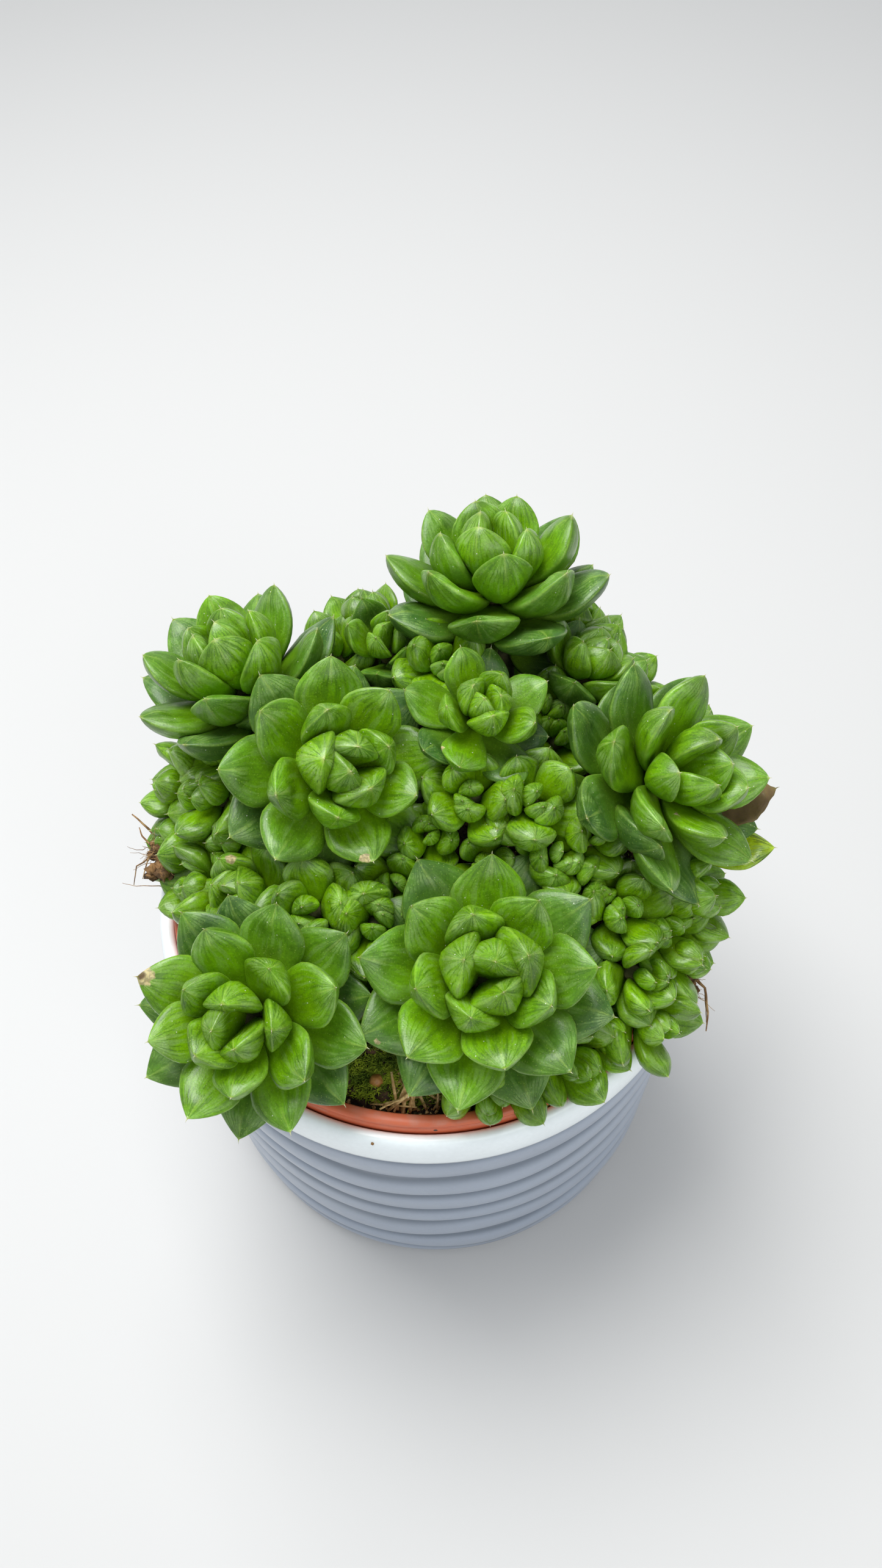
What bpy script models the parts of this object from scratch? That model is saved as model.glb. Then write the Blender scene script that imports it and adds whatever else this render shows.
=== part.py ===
"""A potted haworthia: a crowded clump of rosettes in a nursery pot, which stands in a ribbed cover pot.

The part stands on z = 0 with the pots' common axis on Z, and its front is towards -Y. Sizes below are in
millimetres and angles in degrees; meshes are made in metres.
"""

import math
from collections import namedtuple

import bmesh
import bpy
from mathutils import Vector
from mathutils.bvhtree import BVHTree

MM = 0.001
GAP = 0.3

# Cover pot
RIM_R = 70.0
RIM_INNER_R = 66.0
RIM_Z = 113.6
FOOT_R = 66.0
WALL_R = 69.0
FLOOR_Z = 7.0
RIB_HEIGHTS = (16.5, 31.0, 46.0, 62.5, 76.5, 92.5)
RIB_DEPTH = 1.1
RIB_WAVE = 1.3
POT_SIDES = 32

# Nursery pot
LIP_R = 65.2
LIP_TOP = 117.8
LIP_HEIGHT = 6.2
SHELL_TOP_R = 63.6
SHELL_BASE_R = 50.0
SHELL_WALL = 1.5
DRAIN_HOLES = 6
DRAIN_HOLE_R = 4.5
DRAIN_RING_R = 33.0

# Peat
PEAT_EDGE_Z = 109.0
PEAT_MOUND = 20.0
PEAT_SIDES = 24
STEM_DEPTH = 9.0

# Leaves
GOLDEN_ANGLE = 137.5
LEAF_CURL = 54.0
LEAF_BASE_WIDTH = 0.3
LEAF_WIDEST = 0.62
LEAF_CLEARANCE = 0.45
LARGE_STATIONS = (0.0, 0.4, 0.77, 1.0)
SMALL_STATIONS = (0.0, 0.7, 1.0)
LARGE_SECTION = (0, 60, 120, 180, 270)
SMALL_SECTION = (0, 90, 180, 270)
SMALL_LEAF = 18.0
CROWN_SHARE = 0.2
OLD_LEAF_STEP = 0.08
KEPT_FACES = (0.4, 0.46, 0.54, 0.65, 0.8, 1)
SAME_POINT = 0.001
STEM_SHARE = 0.14

# A rosette's place is the top of its stem. Its stem leans by `lean` from upright, towards `heading`,
# where 0 is +X and 90 is the back. Its lowest leaf points to `first`, and each next one turns by `turn`
# golden angles. The lowest leaves rise by `opened` from the rosette's own plane, and the innermost by
# `closed`. Below them, `old` leaves still hang along the stem.
Rosette = namedtuple(
    "Rosette",
    "name x y z lean heading leaves length width first turn opened closed old",
    defaults=(1, 30, 86, 0),
)

# Where two would cross, the one that comes first here keeps its shape and the other makes room.
ROSETTES = (
    Rosette("rosette_front", 12, -41, 145, 21, -80, 23, 31, 18.5, 236, 1, 0, 84, 4),
    Rosette("offset_front_left_1", -26, -24, 144, 25, -110, 8, 15, 13, 40),
    Rosette("offset_front_left_2", -12, -27, 143, 25, -90, 8, 15, 12, 190),
    Rosette("rosette_front_left", -39, -49, 145, 34, -110, 20, 28, 16, 314, -1, 3, 80, 3),
    Rosette("rosette_left", -19, 2, 162, 36, -56, 19, 28, 18, 211, 1, 0, 78, 6),
    Rosette("rosette_right", 55, -2, 160, 41, -28, 19, 30, 16, 12, 1, 10, 72, 7),
    Rosette("rosette_back", 18, 51, 171, 18, 106, 18, 30, 18, 292, 1, 14, 76, 10),
    Rosette("rosette_back_left", -44, 32, 160, 21, 143, 17, 29, 17, 249, 1, 18, 84, 6),
    Rosette("rosette_middle", 13, 12, 168, 16, -58, 10, 19, 13, 78, -1, 10, 80, 4),
    Rosette("offset_middle_1", 11, -3, 157, 22, -110, 8, 14, 11.5, 20),
    Rosette("offset_middle_2", 24, -5, 157, 20, -60, 8, 15, 13, 70),
    Rosette("offset_middle_3", 1, -8, 149, 25, -100, 6, 11, 9.5, 150),
    Rosette("offset_middle_4", 29, -14, 149, 30, -60, 7, 13, 10.5, 220),
    Rosette("offset_middle_5", 37, -11, 151, 25, -40, 7, 12, 10, 10),
    Rosette("offset_middle_6", 13, -14, 146, 25, -90, 6, 11, 8.5, 300),
    Rosette("offset_middle_7", -7, -17, 142, 25, -100, 7, 13, 10.5, 100),
    Rosette("offset_middle_8", 32, 19, 147, 15, -60, 7, 13, 10.5, 30, 1, 30, 84),
    Rosette("offset_left_1", -47, 18, 148, 50, 215, 8, 16, 12, 160),
    Rosette("offset_left_2", -51, 10, 140, 50, 210, 8, 16, 12, 280),
    Rosette("offset_left_3", -49, 3, 133, 50, 220, 7, 15, 11.5, 30),
    Rosette("offset_left_4", -60, 17, 133, 65, 180, 8, 17, 12, 90),
    Rosette("offset_left_5", -43, -14, 132, 30, 200, 8, 18, 14, 130),
    Rosette("offset_left_6", -55, -7, 125, 55, 195, 7, 16, 12, 250),
    Rosette("offset_left_7", -62, 8, 123, 70, 190, 7, 15, 11.5, 60),
    Rosette("offset_back_1", 6, 31, 163, 20, -110, 8, 15, 13, 60),
    Rosette("offset_back_2", -8, 41, 157, 10, -90, 6, 18, 10.5, 120, 1, 50, 84),
    Rosette("offset_back_3", -3, 31, 150, 20, -120, 6, 13, 10.5, 200, 1, 30, 84),
    Rosette("offset_back_4", -22, 45, 150, 15, 120, 7, 15, 10.5, 60, 1, 35, 84),
    Rosette("offset_back_right_1", 41, 34, 155, 30, 20, 9, 18, 14, 100),
    Rosette("offset_back_right_2", 50, 37, 145, 45, 15, 8, 16, 11.5, 310),
    Rosette("offset_back_right_3", 30, 25, 151, 15, -60, 7, 14, 10, 240, 1, 35, 84),
    Rosette("offset_right_1", 44, -24, 139, 25, -50, 8, 15, 11.5, 330),
    Rosette("offset_right_2", 53, -26, 134, 40, -40, 7, 15, 11, 110),
    Rosette("offset_right_3", 61, -17, 135, 50, -20, 8, 16, 11.5, 20),
    Rosette("offset_right_4", 58, -29, 127, 60, -30, 7, 14, 11, 200),
    Rosette("offset_right_5", 47, -36, 132, 45, -50, 7, 15, 11, 270),
    Rosette("offset_right_6", 50, -43, 122, 65, -45, 7, 16, 11.5, 60),
    Rosette("offset_right_7", 60, -3, 133, 60, -8, 7, 19, 13, 0),
    Rosette("offset_right_8", 38, -18, 143, 28, -50, 7, 14, 11, 180),
    Rosette("offset_front_1", 29, -51, 122, 60, -60, 7, 17, 12, 250),
    Rosette("offset_front_2", 38, -46, 121, 65, -50, 6, 15, 11, 100),
    Rosette("offset_front_3", 14, -57, 121, 60, -85, 6, 16, 11, 270),
    Rosette("offset_front_4", -14, -40, 129, 35, -100, 6, 14, 10.5, 50),
    Rosette("offset_rear_1", -9, 53, 128, 60, 100, 8, 20, 14.5, 80),
    Rosette("offset_rear_2", 14, 55, 128, 60, 76, 8, 20, 14.5, 150),
    Rosette("offset_rear_3", 35, 44, 128, 58, 52, 8, 19, 14, 10),
    Rosette("offset_rear_4", 52, 26, 128, 58, 28, 8, 19, 14, 320),
    Rosette("offset_rear_5", -32, 46, 128, 60, 124, 8, 19, 14, 230),
    Rosette("offset_rear_6", -50, 29, 128, 60, 150, 8, 18, 13.5, 170),
    Rosette("offset_rear_7", -14, 55, 148, 35, 105, 9, 19, 14, 300),
    Rosette("offset_rear_8", 40, 52, 146, 40, 55, 8, 18, 13.5, 200),
    Rosette("offset_rear_9", 62, 20, 146, 40, 20, 8, 18, 13.5, 40),
)


def axes_of(rosette):
    """The rosette's own X, Y and Z directions, its Z running up its stem."""
    lean, heading = math.radians(rosette.lean), math.radians(rosette.heading)
    up = Vector((math.sin(lean) * math.cos(heading), math.sin(lean) * math.sin(heading), math.cos(lean)))
    along_x = (Vector((1, 0, 0)) - up * up.x).normalized()
    return along_x, up.cross(along_x), up


def turned(outline, sides):
    """Vertices and faces of a solid turned about Z, from (radius, height) points that go round its section.

    The outline starts and ends on the axis, running up its outer side.
    """
    points, faces = [Vector((0, 0, outline[0][1])), Vector((0, 0, outline[-1][1]))], []
    rings = []
    for radius, height in outline[1:-1]:
        rings.append(range(len(points), len(points) + sides))
        for side in range(sides):
            angle = math.tau * side / sides
            points.append(Vector((radius * math.cos(angle), radius * math.sin(angle), height)))
    for side in range(sides):
        after = (side + 1) % sides
        faces.append((0, rings[0][after], rings[0][side]))
        faces.append((1, rings[-1][side], rings[-1][after]))
        for low, high in zip(rings, rings[1:]):
            faces.append((low[side], low[after], high[after], high[side]))
    return points, faces


def lofted(rings, tip=None):
    """Vertices and faces of a closed solid through rings of points, ending in a flat cap or in a tip."""
    points, faces = [], []
    count = len(rings[0])
    for ring in rings:
        points.extend(ring)
    for level in range(len(rings) - 1):
        low, high = level * count, (level + 1) * count
        for side in range(count):
            after = (side + 1) % count
            faces.append((low + side, low + after, high + after, high + side))
    faces.append(tuple(reversed(range(count))))
    last = (len(rings) - 1) * count
    if tip is None:
        faces.append(tuple(range(last, last + count)))
    else:
        points.append(tip)
        for side in range(count):
            faces.append((last + side, last + (side + 1) % count, len(points) - 1))
    return points, faces


def material(name, colour, roughness):
    made = bpy.data.materials.new(name)
    made.use_nodes = True
    shader = made.node_tree.nodes["Principled BSDF"]
    shader.inputs["Base Color"].default_value = (*colour, 1)
    shader.inputs["Roughness"].default_value = roughness
    return made


def new_object(name, shape, finish, collection=None):
    """An object in metres from a shape's vertices and faces in millimetres."""
    points, faces = shape
    mesh = bpy.data.meshes.new(name)
    mesh.from_pydata([point * MM for point in points], [], faces)
    mesh.materials.append(finish)
    made = bpy.data.objects.new(name, mesh)
    (collection or bpy.context.scene.collection).objects.link(made)
    return made


def boolean(target, shapes, operation, finish):
    """Adds shapes to the target, or cuts them from it, by one Boolean on a collection, and applies it."""
    helpers = bpy.data.collections.new(target.name + "_helpers")
    bpy.context.scene.collection.children.link(helpers)
    for shape in shapes:
        new_object(target.name + "_piece", shape, finish, helpers)
    modifier = target.modifiers.new("Boolean", "BOOLEAN")
    modifier.operation = operation
    modifier.operand_type = "COLLECTION"
    modifier.collection = helpers
    modifier.solver = "EXACT"
    graph = bpy.context.evaluated_depsgraph_get()
    fused = bpy.data.meshes.new_from_object(target.evaluated_get(graph))
    target.modifiers.clear()
    target.data = outer_body(fused)
    for piece in list(helpers.objects):
        bpy.data.objects.remove(piece)
    bpy.data.collections.remove(helpers)


def drop_faces(target, neighbours):
    """Collapses the small faces that fusing leaves, as far as the mesh stays closed and off its neighbours.

    It returns the tree of what is left.
    """
    fewer = target.modifiers.new("Fewer faces", "DECIMATE")
    for share in KEPT_FACES:
        fewer.ratio = share
        graph = bpy.context.evaluated_depsgraph_get()
        work = bmesh.new()
        work.from_mesh(target.evaluated_get(graph).data)
        bmesh.ops.dissolve_degenerate(work, dist=SAME_POINT * MM, edges=work.edges)
        closed = all(edge.is_manifold for edge in work.edges) and all(v.is_manifold for v in work.verts)
        tree = BVHTree.FromBMesh(work)
        if closed and not any(tree.overlap(other) for other in neighbours):
            work.to_mesh(target.data)
            work.free()
            break
        work.free()
    target.modifiers.clear()
    return tree


def outer_body(mesh):
    """The mesh without the sealed hollows and loose scraps that fusing leaves: its largest island alone."""
    work = bmesh.new()
    work.from_mesh(mesh)
    left, islands = set(work.verts), []
    while left:
        edge, island = [left.pop()], []
        while edge:
            vertex = edge.pop()
            island.append(vertex)
            for link in vertex.link_edges:
                other = link.other_vert(vertex)
                if other in left:
                    left.remove(other)
                    edge.append(other)
        islands.append(island)
    islands.sort(key=len)
    for island in islands[:-1]:
        bmesh.ops.delete(work, geom=island, context="VERTS")
    work.to_mesh(mesh)
    work.free()
    return mesh


def peat_height(x, y):
    """The peat's surface: level by the lip, with a low uneven mound under the clump."""
    reach = min(math.hypot(x, y) / SHELL_TOP_R, 1)
    bumps = 0.7 * math.sin(0.21 * x + 1.3) * math.sin(0.19 * y + 0.4) * (1 - reach)
    return PEAT_EDGE_Z + PEAT_MOUND * (1 - reach**2) ** 1.5 + bumps


def cover_pot_shape():
    outline = [(0, 0), (FOOT_R, 0), (FOOT_R + 2.2, 2)]
    for low, high in zip((4, *RIB_HEIGHTS), (*RIB_HEIGHTS, None)):
        outline.append((WALL_R - RIB_DEPTH, (low + (high or RIM_Z - 9)) / 2))
        if high:
            outline.append((WALL_R, high))
    roll = (RIM_R - RIM_INNER_R) / 2
    outline.append((RIM_R - 0.6, RIM_Z - 6.5))
    for angle in (-10, 35, 75, 110, 150):
        bend = math.radians(angle)
        outline.append((RIM_R - roll + roll * math.cos(bend), RIM_Z - roll + roll * math.sin(bend)))
    outline += [(RIM_INNER_R - 0.1, RIM_Z - 6), (RIM_INNER_R - 1, FLOOR_Z + 5)]
    outline += [(RIM_INNER_R - 6, FLOOR_Z), (0, FLOOR_Z)]
    points, faces = turned(outline, POT_SIDES)
    for point in points:
        inside_wall = math.hypot(point.x, point.y) > WALL_R - RIB_DEPTH - 0.5
        if inside_wall and 5 < point.z < RIM_Z - 8:
            angle = math.atan2(point.y, point.x)
            point.z += RIB_WAVE * math.sin(2 * angle + 0.11 * point.z)
    return points, faces


def shell_radius(z):
    """Outer radius of the nursery pot's wall, which widens upwards."""
    base = FLOOR_Z + GAP
    return SHELL_BASE_R + (SHELL_TOP_R - SHELL_BASE_R) * (z - base) / (LIP_TOP - base)


def nursery_pot_shape():
    base = FLOOR_Z + GAP
    lip_low = LIP_TOP - LIP_HEIGHT
    outline = [(0, base), (SHELL_BASE_R - 1, base), (SHELL_BASE_R, base + 1.5)]
    outline += [(shell_radius(lip_low - 1.5), lip_low - 1.5), (LIP_R - 0.5, lip_low), (LIP_R, lip_low + 1)]
    outline += [(LIP_R, LIP_TOP - 2.2), (LIP_R - 0.5, LIP_TOP - 0.6), (LIP_R - 1.3, LIP_TOP)]
    inner_top = shell_radius(LIP_TOP) - SHELL_WALL
    outline += [(inner_top + 0.5, LIP_TOP - 0.4), (inner_top, LIP_TOP - 1.6)]
    outline += [(SHELL_BASE_R - SHELL_WALL, base + SHELL_WALL), (0, base + SHELL_WALL)]
    return turned(outline, POT_SIDES)


def drain_hole_shapes():
    base = FLOOR_Z + GAP
    holes = []
    for index in range(DRAIN_HOLES):
        angle = math.tau * (index + 0.5) / DRAIN_HOLES
        centre = Vector((DRAIN_RING_R * math.cos(angle), DRAIN_RING_R * math.sin(angle), base))
        holes.append(post_shape(centre, DRAIN_HOLE_R, -2, SHELL_WALL + 2, 10))
    return holes


def post_shape(foot, radius, low, high, sides):
    """An upright prism round `foot`, from `low` to `high` above it."""
    rings = []
    for height in (low, high):
        turns = [math.tau * side / sides for side in range(sides)]
        rings.append([foot + Vector((radius * math.cos(t), radius * math.sin(t), height)) for t in turns])
    return lofted(rings)


def peat_shape():
    base = FLOOR_Z + GAP + SHELL_WALL + GAP
    wall = SHELL_WALL + GAP

    def wall_radius(z):
        return shell_radius(z) - wall - 0.05

    surface = [(wall_radius(PEAT_EDGE_Z) * share, PEAT_EDGE_Z) for share in (1, 0.86, 0.66, 0.44, 0.22)]
    outline = [(0, base), (wall_radius(base) - 0.4, base), *surface, (0, PEAT_EDGE_Z)]
    points, faces = turned(outline, PEAT_SIDES)
    for point in points:
        if point.z == PEAT_EDGE_Z:
            point.z = peat_height(point.x, point.y)
    return points, faces


class Stem:
    """A rosette's stem: it leaves the rosette along its axis and bends upright into a hole in the peat."""

    def __init__(self, rosette, foot):
        _, _, up = axes_of(rosette)
        large = rosette.length >= SMALL_LEAF
        self.radius = rosette.length * STEM_SHARE
        self.sides = 6 if large else 5
        top = Vector((rosette.x, rosette.y, rosette.z))
        crown = top + up * rosette.length * 0.08
        shoulder = top - up * rosette.length * 0.08
        neck = top - up * rosette.length * (0.40 + OLD_LEAF_STEP * rosette.old)
        ground = Vector((*foot, peat_height(*foot)))
        self.foot = ground - Vector((0, 0, STEM_DEPTH - GAP))
        bend = Vector((neck.x * 0.35 + ground.x * 0.65, neck.y * 0.35 + ground.y * 0.65, 0))
        bend.z = ground.z * 0.55 + neck.z * 0.45
        self.line = [crown, shoulder, neck, bend, ground + Vector((0, 0, 1.2)), self.foot]
        self.radii = [0.5 * CROWN_SHARE, CROWN_SHARE, STEM_SHARE, *[0.8 * STEM_SHARE] * 3]
        self.radii = [rosette.length * share for share in self.radii]
        if (neck - ground).length < 9:
            del self.line[3], self.radii[3]

    def shape(self, swell=0.0):
        rings = []
        for index, place in enumerate(self.line):
            before = self.line[max(index - 1, 0)]
            after = self.line[min(index + 1, len(self.line) - 1)]
            down = (after - before).normalized()
            if index >= len(self.line) - 2:
                down = Vector((0, 0, -1))
            across = down.cross(Vector((0, 1, 0))).normalized()
            side = down.cross(across)
            radius = self.radii[index] + swell
            turns = [math.tau * (step + 0.5) / self.sides for step in range(self.sides)]
            rings.append([place + radius * (math.cos(t) * across + math.sin(t) * side) for t in turns])
        return lofted(rings)


def leaf_shape(rosette, index, lift=0.0, aside=0.0, size=1.0, swell=0.0):
    """One leaf: a thick, pointed blade, keeled below, that curls inwards.

    Its `index` counts from the outside, and is below 0 for the old leaves. It may be lifted, turned aside
    or grown smaller than its place in the spiral gives. `swell` grows its section, to test for room.
    """
    along_x, along_y, up = axes_of(rosette)
    share = max(index, 0) / (rosette.leaves - 1)
    age = max(-index, 0)
    bearing = math.radians(rosette.first + rosette.turn * GOLDEN_ANGLE * index + aside)
    out = math.cos(bearing) * along_x + math.sin(bearing) * along_y
    across = up.cross(out)
    rise = rosette.opened + (rosette.closed - rosette.opened) * share**1.5 - 3 * age + lift
    start = math.radians(rise - LEAF_CURL / 2)
    curl = math.radians(LEAF_CURL)
    size *= 1 - 0.03 * age
    length = rosette.length * (1 - 0.6 * share**1.6) * size
    half_width = rosette.width * (1 - 0.5 * share**1.6) * size / 2
    inset = 0.6 * CROWN_SHARE * rosette.length
    length -= inset
    drop = rosette.length * (0.28 * (1 - share) + OLD_LEAF_STEP * age)
    root = Vector((rosette.x, rosette.y, rosette.z)) - up * drop + out * inset
    large = rosette.length >= SMALL_LEAF
    stations = LARGE_STATIONS if large else SMALL_STATIONS
    section = LARGE_SECTION if large else SMALL_SECTION

    def middle(station):
        angle = start + curl * station
        forward = (math.sin(angle) - math.sin(start)) / curl
        upward = (math.cos(start) - math.cos(angle)) / curl
        return root + length * (forward * out + upward * up), angle

    rings = []
    for station in stations[:-1]:
        place, angle = middle(station)
        above = -math.sin(angle) * out + math.cos(angle) * up
        half = half_width * leaf_profile(station) + swell
        crown = 0.36 * half_width * leaf_profile(station) + swell
        keel = 0.58 * half_width * (0.3 + 0.7 * leaf_profile(station)) + swell
        ring = []
        for degrees in section:
            turn = math.radians(degrees)
            rise_part = math.sin(turn) * (crown if degrees <= 180 else keel)
            ring.append(place + half * math.cos(turn) * across + rise_part * above)
        rings.append(ring)
    tip, angle = middle(1.0)
    tip = tip + swell * (math.cos(angle) * out + math.sin(angle) * up)
    return lofted(rings, tip)


def leaf_profile(station):
    """The leaf's width along its length, as a share of its widest."""
    if station < LEAF_WIDEST:
        swell = math.sin(math.pi / 2 * station / LEAF_WIDEST)
        return LEAF_BASE_WIDTH + (1 - LEAF_BASE_WIDTH) * swell
    past = (station - LEAF_WIDEST) / (1 - LEAF_WIDEST)
    return (1 - past**1.8) ** 0.75


def tree_of(shape, scale=1.0):
    points, faces = shape
    return BVHTree.FromPolygons([point * scale for point in points], faces)


def placed_stems():
    """Each rosette's stem, in the free spot of the peat that is nearest to below its rosette."""
    stems, trees = {}, []
    for rosette in sorted(ROSETTES, key=lambda one: one.z):
        _, _, up = axes_of(rosette)
        wanted = Vector((rosette.x, rosette.y)) - Vector((up.x, up.y)) * rosette.length * 0.6
        if wanted.length > 50:
            wanted *= 50 / wanted.length
        spots = sorted(
            ((ring, turn) for ring in range(0, 26, 2) for turn in range(0, 360, 30) if ring or not turn),
            key=lambda spot: spot[0],
        )
        for ring, turn in spots:
            foot = wanted + ring * Vector((math.cos(math.radians(turn)), math.sin(math.radians(turn))))
            if foot.length > 54:
                continue
            stem = Stem(rosette, foot)
            tree = tree_of(stem.shape(LEAF_CLEARANCE))
            if not any(tree.overlap(other) for other in trees):
                break
        else:
            raise ValueError("no room in the peat for " + rosette.name)
        stems[rosette.name] = stem
        trees.append(tree_of(stem.shape(LEAF_CLEARANCE)))
    return stems


def leaf_tries():
    """Ways for a leaf to make room for its neighbours, from the slightest to the strongest."""
    for size in (1, 0.9, 0.8, 0.68, 0.55):
        for lift in (0, 7, -7, 14, -14, 22, 30, 40):
            for aside in (0, 12, -12, 24, -24):
                yield lift, aside, size


def grown_leaves(stems, obstacles):
    """The leaves of each rosette, each kept clear of the pots, the peat and every other rosette."""
    ways = sorted(leaf_tries(), key=lambda way: abs(way[0]) / 12 + abs(way[1]) / 20 + (1 - way[2]) * 7)
    kept = {rosette.name: [] for rosette in ROSETTES}
    trees = {name: [tree_of(stem.shape(LEAF_CLEARANCE))] for name, stem in stems.items()}
    grown = [(rosette, index) for rosette in ROSETTES for index in range(rosette.leaves)]
    hanging = [(rosette, -age) for rosette in ROSETTES for age in range(1, rosette.old + 1)]
    for rosette, index in grown + hanging:
        others = [tree for name, found in trees.items() if name != rosette.name for tree in found]
        for lift, aside, size in ways:
            tree = tree_of(leaf_shape(rosette, index, lift, aside, size, LEAF_CLEARANCE))
            if not any(tree.overlap(other) for other in obstacles + others):
                kept[rosette.name].append((index, lift, aside, size))
                trees[rosette.name].append(tree_of(leaf_shape(rosette, index, lift, aside, size)))
                break
    return kept


def main():
    for thing in list(bpy.data.objects):
        bpy.data.objects.remove(thing)
    glaze = material("glaze", (0.80, 0.84, 0.86), 0.2)
    plastic = material("terracotta_plastic", (0.55, 0.16, 0.09), 0.45)
    earth = material("peat", (0.03, 0.02, 0.013), 0.95)
    leaf = material("leaf", (0.09, 0.24, 0.02), 0.35)

    pot = new_object("cover_pot", cover_pot_shape(), glaze)
    nursery = new_object("nursery_pot", nursery_pot_shape(), plastic)
    boolean(nursery, drain_hole_shapes(), "DIFFERENCE", plastic)
    peat = new_object("peat", peat_shape(), earth)

    obstacles = [tree_of(cover_pot_shape()), tree_of(nursery_pot_shape()), tree_of(peat_shape())]
    stems = placed_stems()
    leaves = grown_leaves(stems, obstacles)
    holes = []
    for stem in stems.values():
        radius = stem.radius * 0.8 / math.cos(math.pi / 5) + GAP + 0.05
        holes.append(post_shape(stem.foot, radius, -GAP, STEM_DEPTH + 8, 5))
    boolean(peat, holes, "DIFFERENCE", earth)
    graph = bpy.context.evaluated_depsgraph_get()
    finished = [BVHTree.FromObject(thing, graph) for thing in (pot, nursery, peat)]
    shapes = {one.name: [leaf_shape(one, *way) for way in leaves[one.name]] for one in ROSETTES}
    trees = {name: [tree_of(shape, MM) for shape in found] for name, found in shapes.items()}
    for rosette in ROSETTES:
        plant = new_object(rosette.name, stems[rosette.name].shape(), leaf)
        boolean(plant, shapes[rosette.name], "UNION", leaf)
        unfinished = [tree for name, found in trees.items() if name != rosette.name for tree in found]
        finished.append(drop_faces(plant, finished + unfinished))
    for thing in (pot, nursery, peat):
        thing.data.shade_smooth()
        thing.data.set_sharp_from_angle(angle=math.radians(40))


main()
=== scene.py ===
"""A potted haworthia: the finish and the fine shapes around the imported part.

Each leaf of the part's rosettes is grown again here, in the same place, as a fleshy blade with veins,
a window at its tip and an awn. The pots get their ribs, collar, lip and glaze, and the peat its crumbs,
moss, straw, bark and roots. Sizes are in millimetres and angles in degrees; meshes are made in metres.
"""

import math
import random
from collections import namedtuple

import bpy
from mathutils import Matrix, Vector, noise
from mathutils.bvhtree import BVHTree


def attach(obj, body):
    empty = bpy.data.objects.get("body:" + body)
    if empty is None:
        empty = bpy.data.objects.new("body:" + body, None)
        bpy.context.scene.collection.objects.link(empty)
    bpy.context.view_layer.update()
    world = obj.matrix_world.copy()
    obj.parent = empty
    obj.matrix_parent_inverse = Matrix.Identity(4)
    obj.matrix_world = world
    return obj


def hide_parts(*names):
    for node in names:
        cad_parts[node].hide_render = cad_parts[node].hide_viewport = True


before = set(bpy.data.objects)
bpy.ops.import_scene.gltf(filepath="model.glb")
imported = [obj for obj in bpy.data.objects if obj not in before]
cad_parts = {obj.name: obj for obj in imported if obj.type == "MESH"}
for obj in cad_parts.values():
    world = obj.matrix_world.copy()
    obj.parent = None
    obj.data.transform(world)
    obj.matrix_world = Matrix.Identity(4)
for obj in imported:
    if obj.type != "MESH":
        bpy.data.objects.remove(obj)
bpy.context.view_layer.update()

MM = 0.001
GAP = 0.3

# Cover pot
RIM_R = 70.0
RIM_INNER_R = 66.0
RIM_Z = 113.6
FOOT_R = 66.0
WALL_R = 69.0
FLOOR_Z = 7.0
RIB_HEIGHTS = (16.5, 31.0, 46.0, 62.5, 76.5, 92.5)
RIB_DEPTH = 1.1
RIB_WAVE = 1.3
POT_SIDES = 32

# Nursery pot
LIP_R = 65.2
LIP_TOP = 117.8
LIP_HEIGHT = 6.2
SHELL_TOP_R = 63.6
SHELL_BASE_R = 50.0
SHELL_WALL = 1.5

# Peat
PEAT_EDGE_Z = 109.0
PEAT_MOUND = 20.0
PEAT_SIDES = 24
PEAT_BASE_Z = FLOOR_Z + GAP + SHELL_WALL + GAP
PEAT_INSET = SHELL_WALL + GAP
STEM_DEPTH = 9.0

# Leaves
GOLDEN_ANGLE = 137.5
LEAF_CURL = 54.0
LEAF_BASE_WIDTH = 0.3
LEAF_WIDEST = 0.62
LEAF_CLEARANCE = 0.45
LARGE_STATIONS = (0.0, 0.4, 0.77, 1.0)
SMALL_STATIONS = (0.0, 0.7, 1.0)
LARGE_SECTION = (0, 60, 120, 180, 270)
SMALL_SECTION = (0, 90, 180, 270)
SMALL_LEAF = 18.0
CROWN_SHARE = 0.2
OLD_LEAF_STEP = 0.08
STEM_SHARE = 0.14

# A rosette's place is the top of its stem. Its stem leans by `lean` from upright, towards `heading`,
# where 0 is +X and 90 is the back. Its lowest leaf points to `first`, and each next one turns by `turn`
# golden angles. The lowest leaves rise by `opened` from the rosette's own plane, and the innermost by
# `closed`. Below them, `old` leaves still hang along the stem.
Rosette = namedtuple(
    "Rosette",
    "name x y z lean heading leaves length width first turn opened closed old",
    defaults=(1, 30, 86, 0),
)

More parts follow.
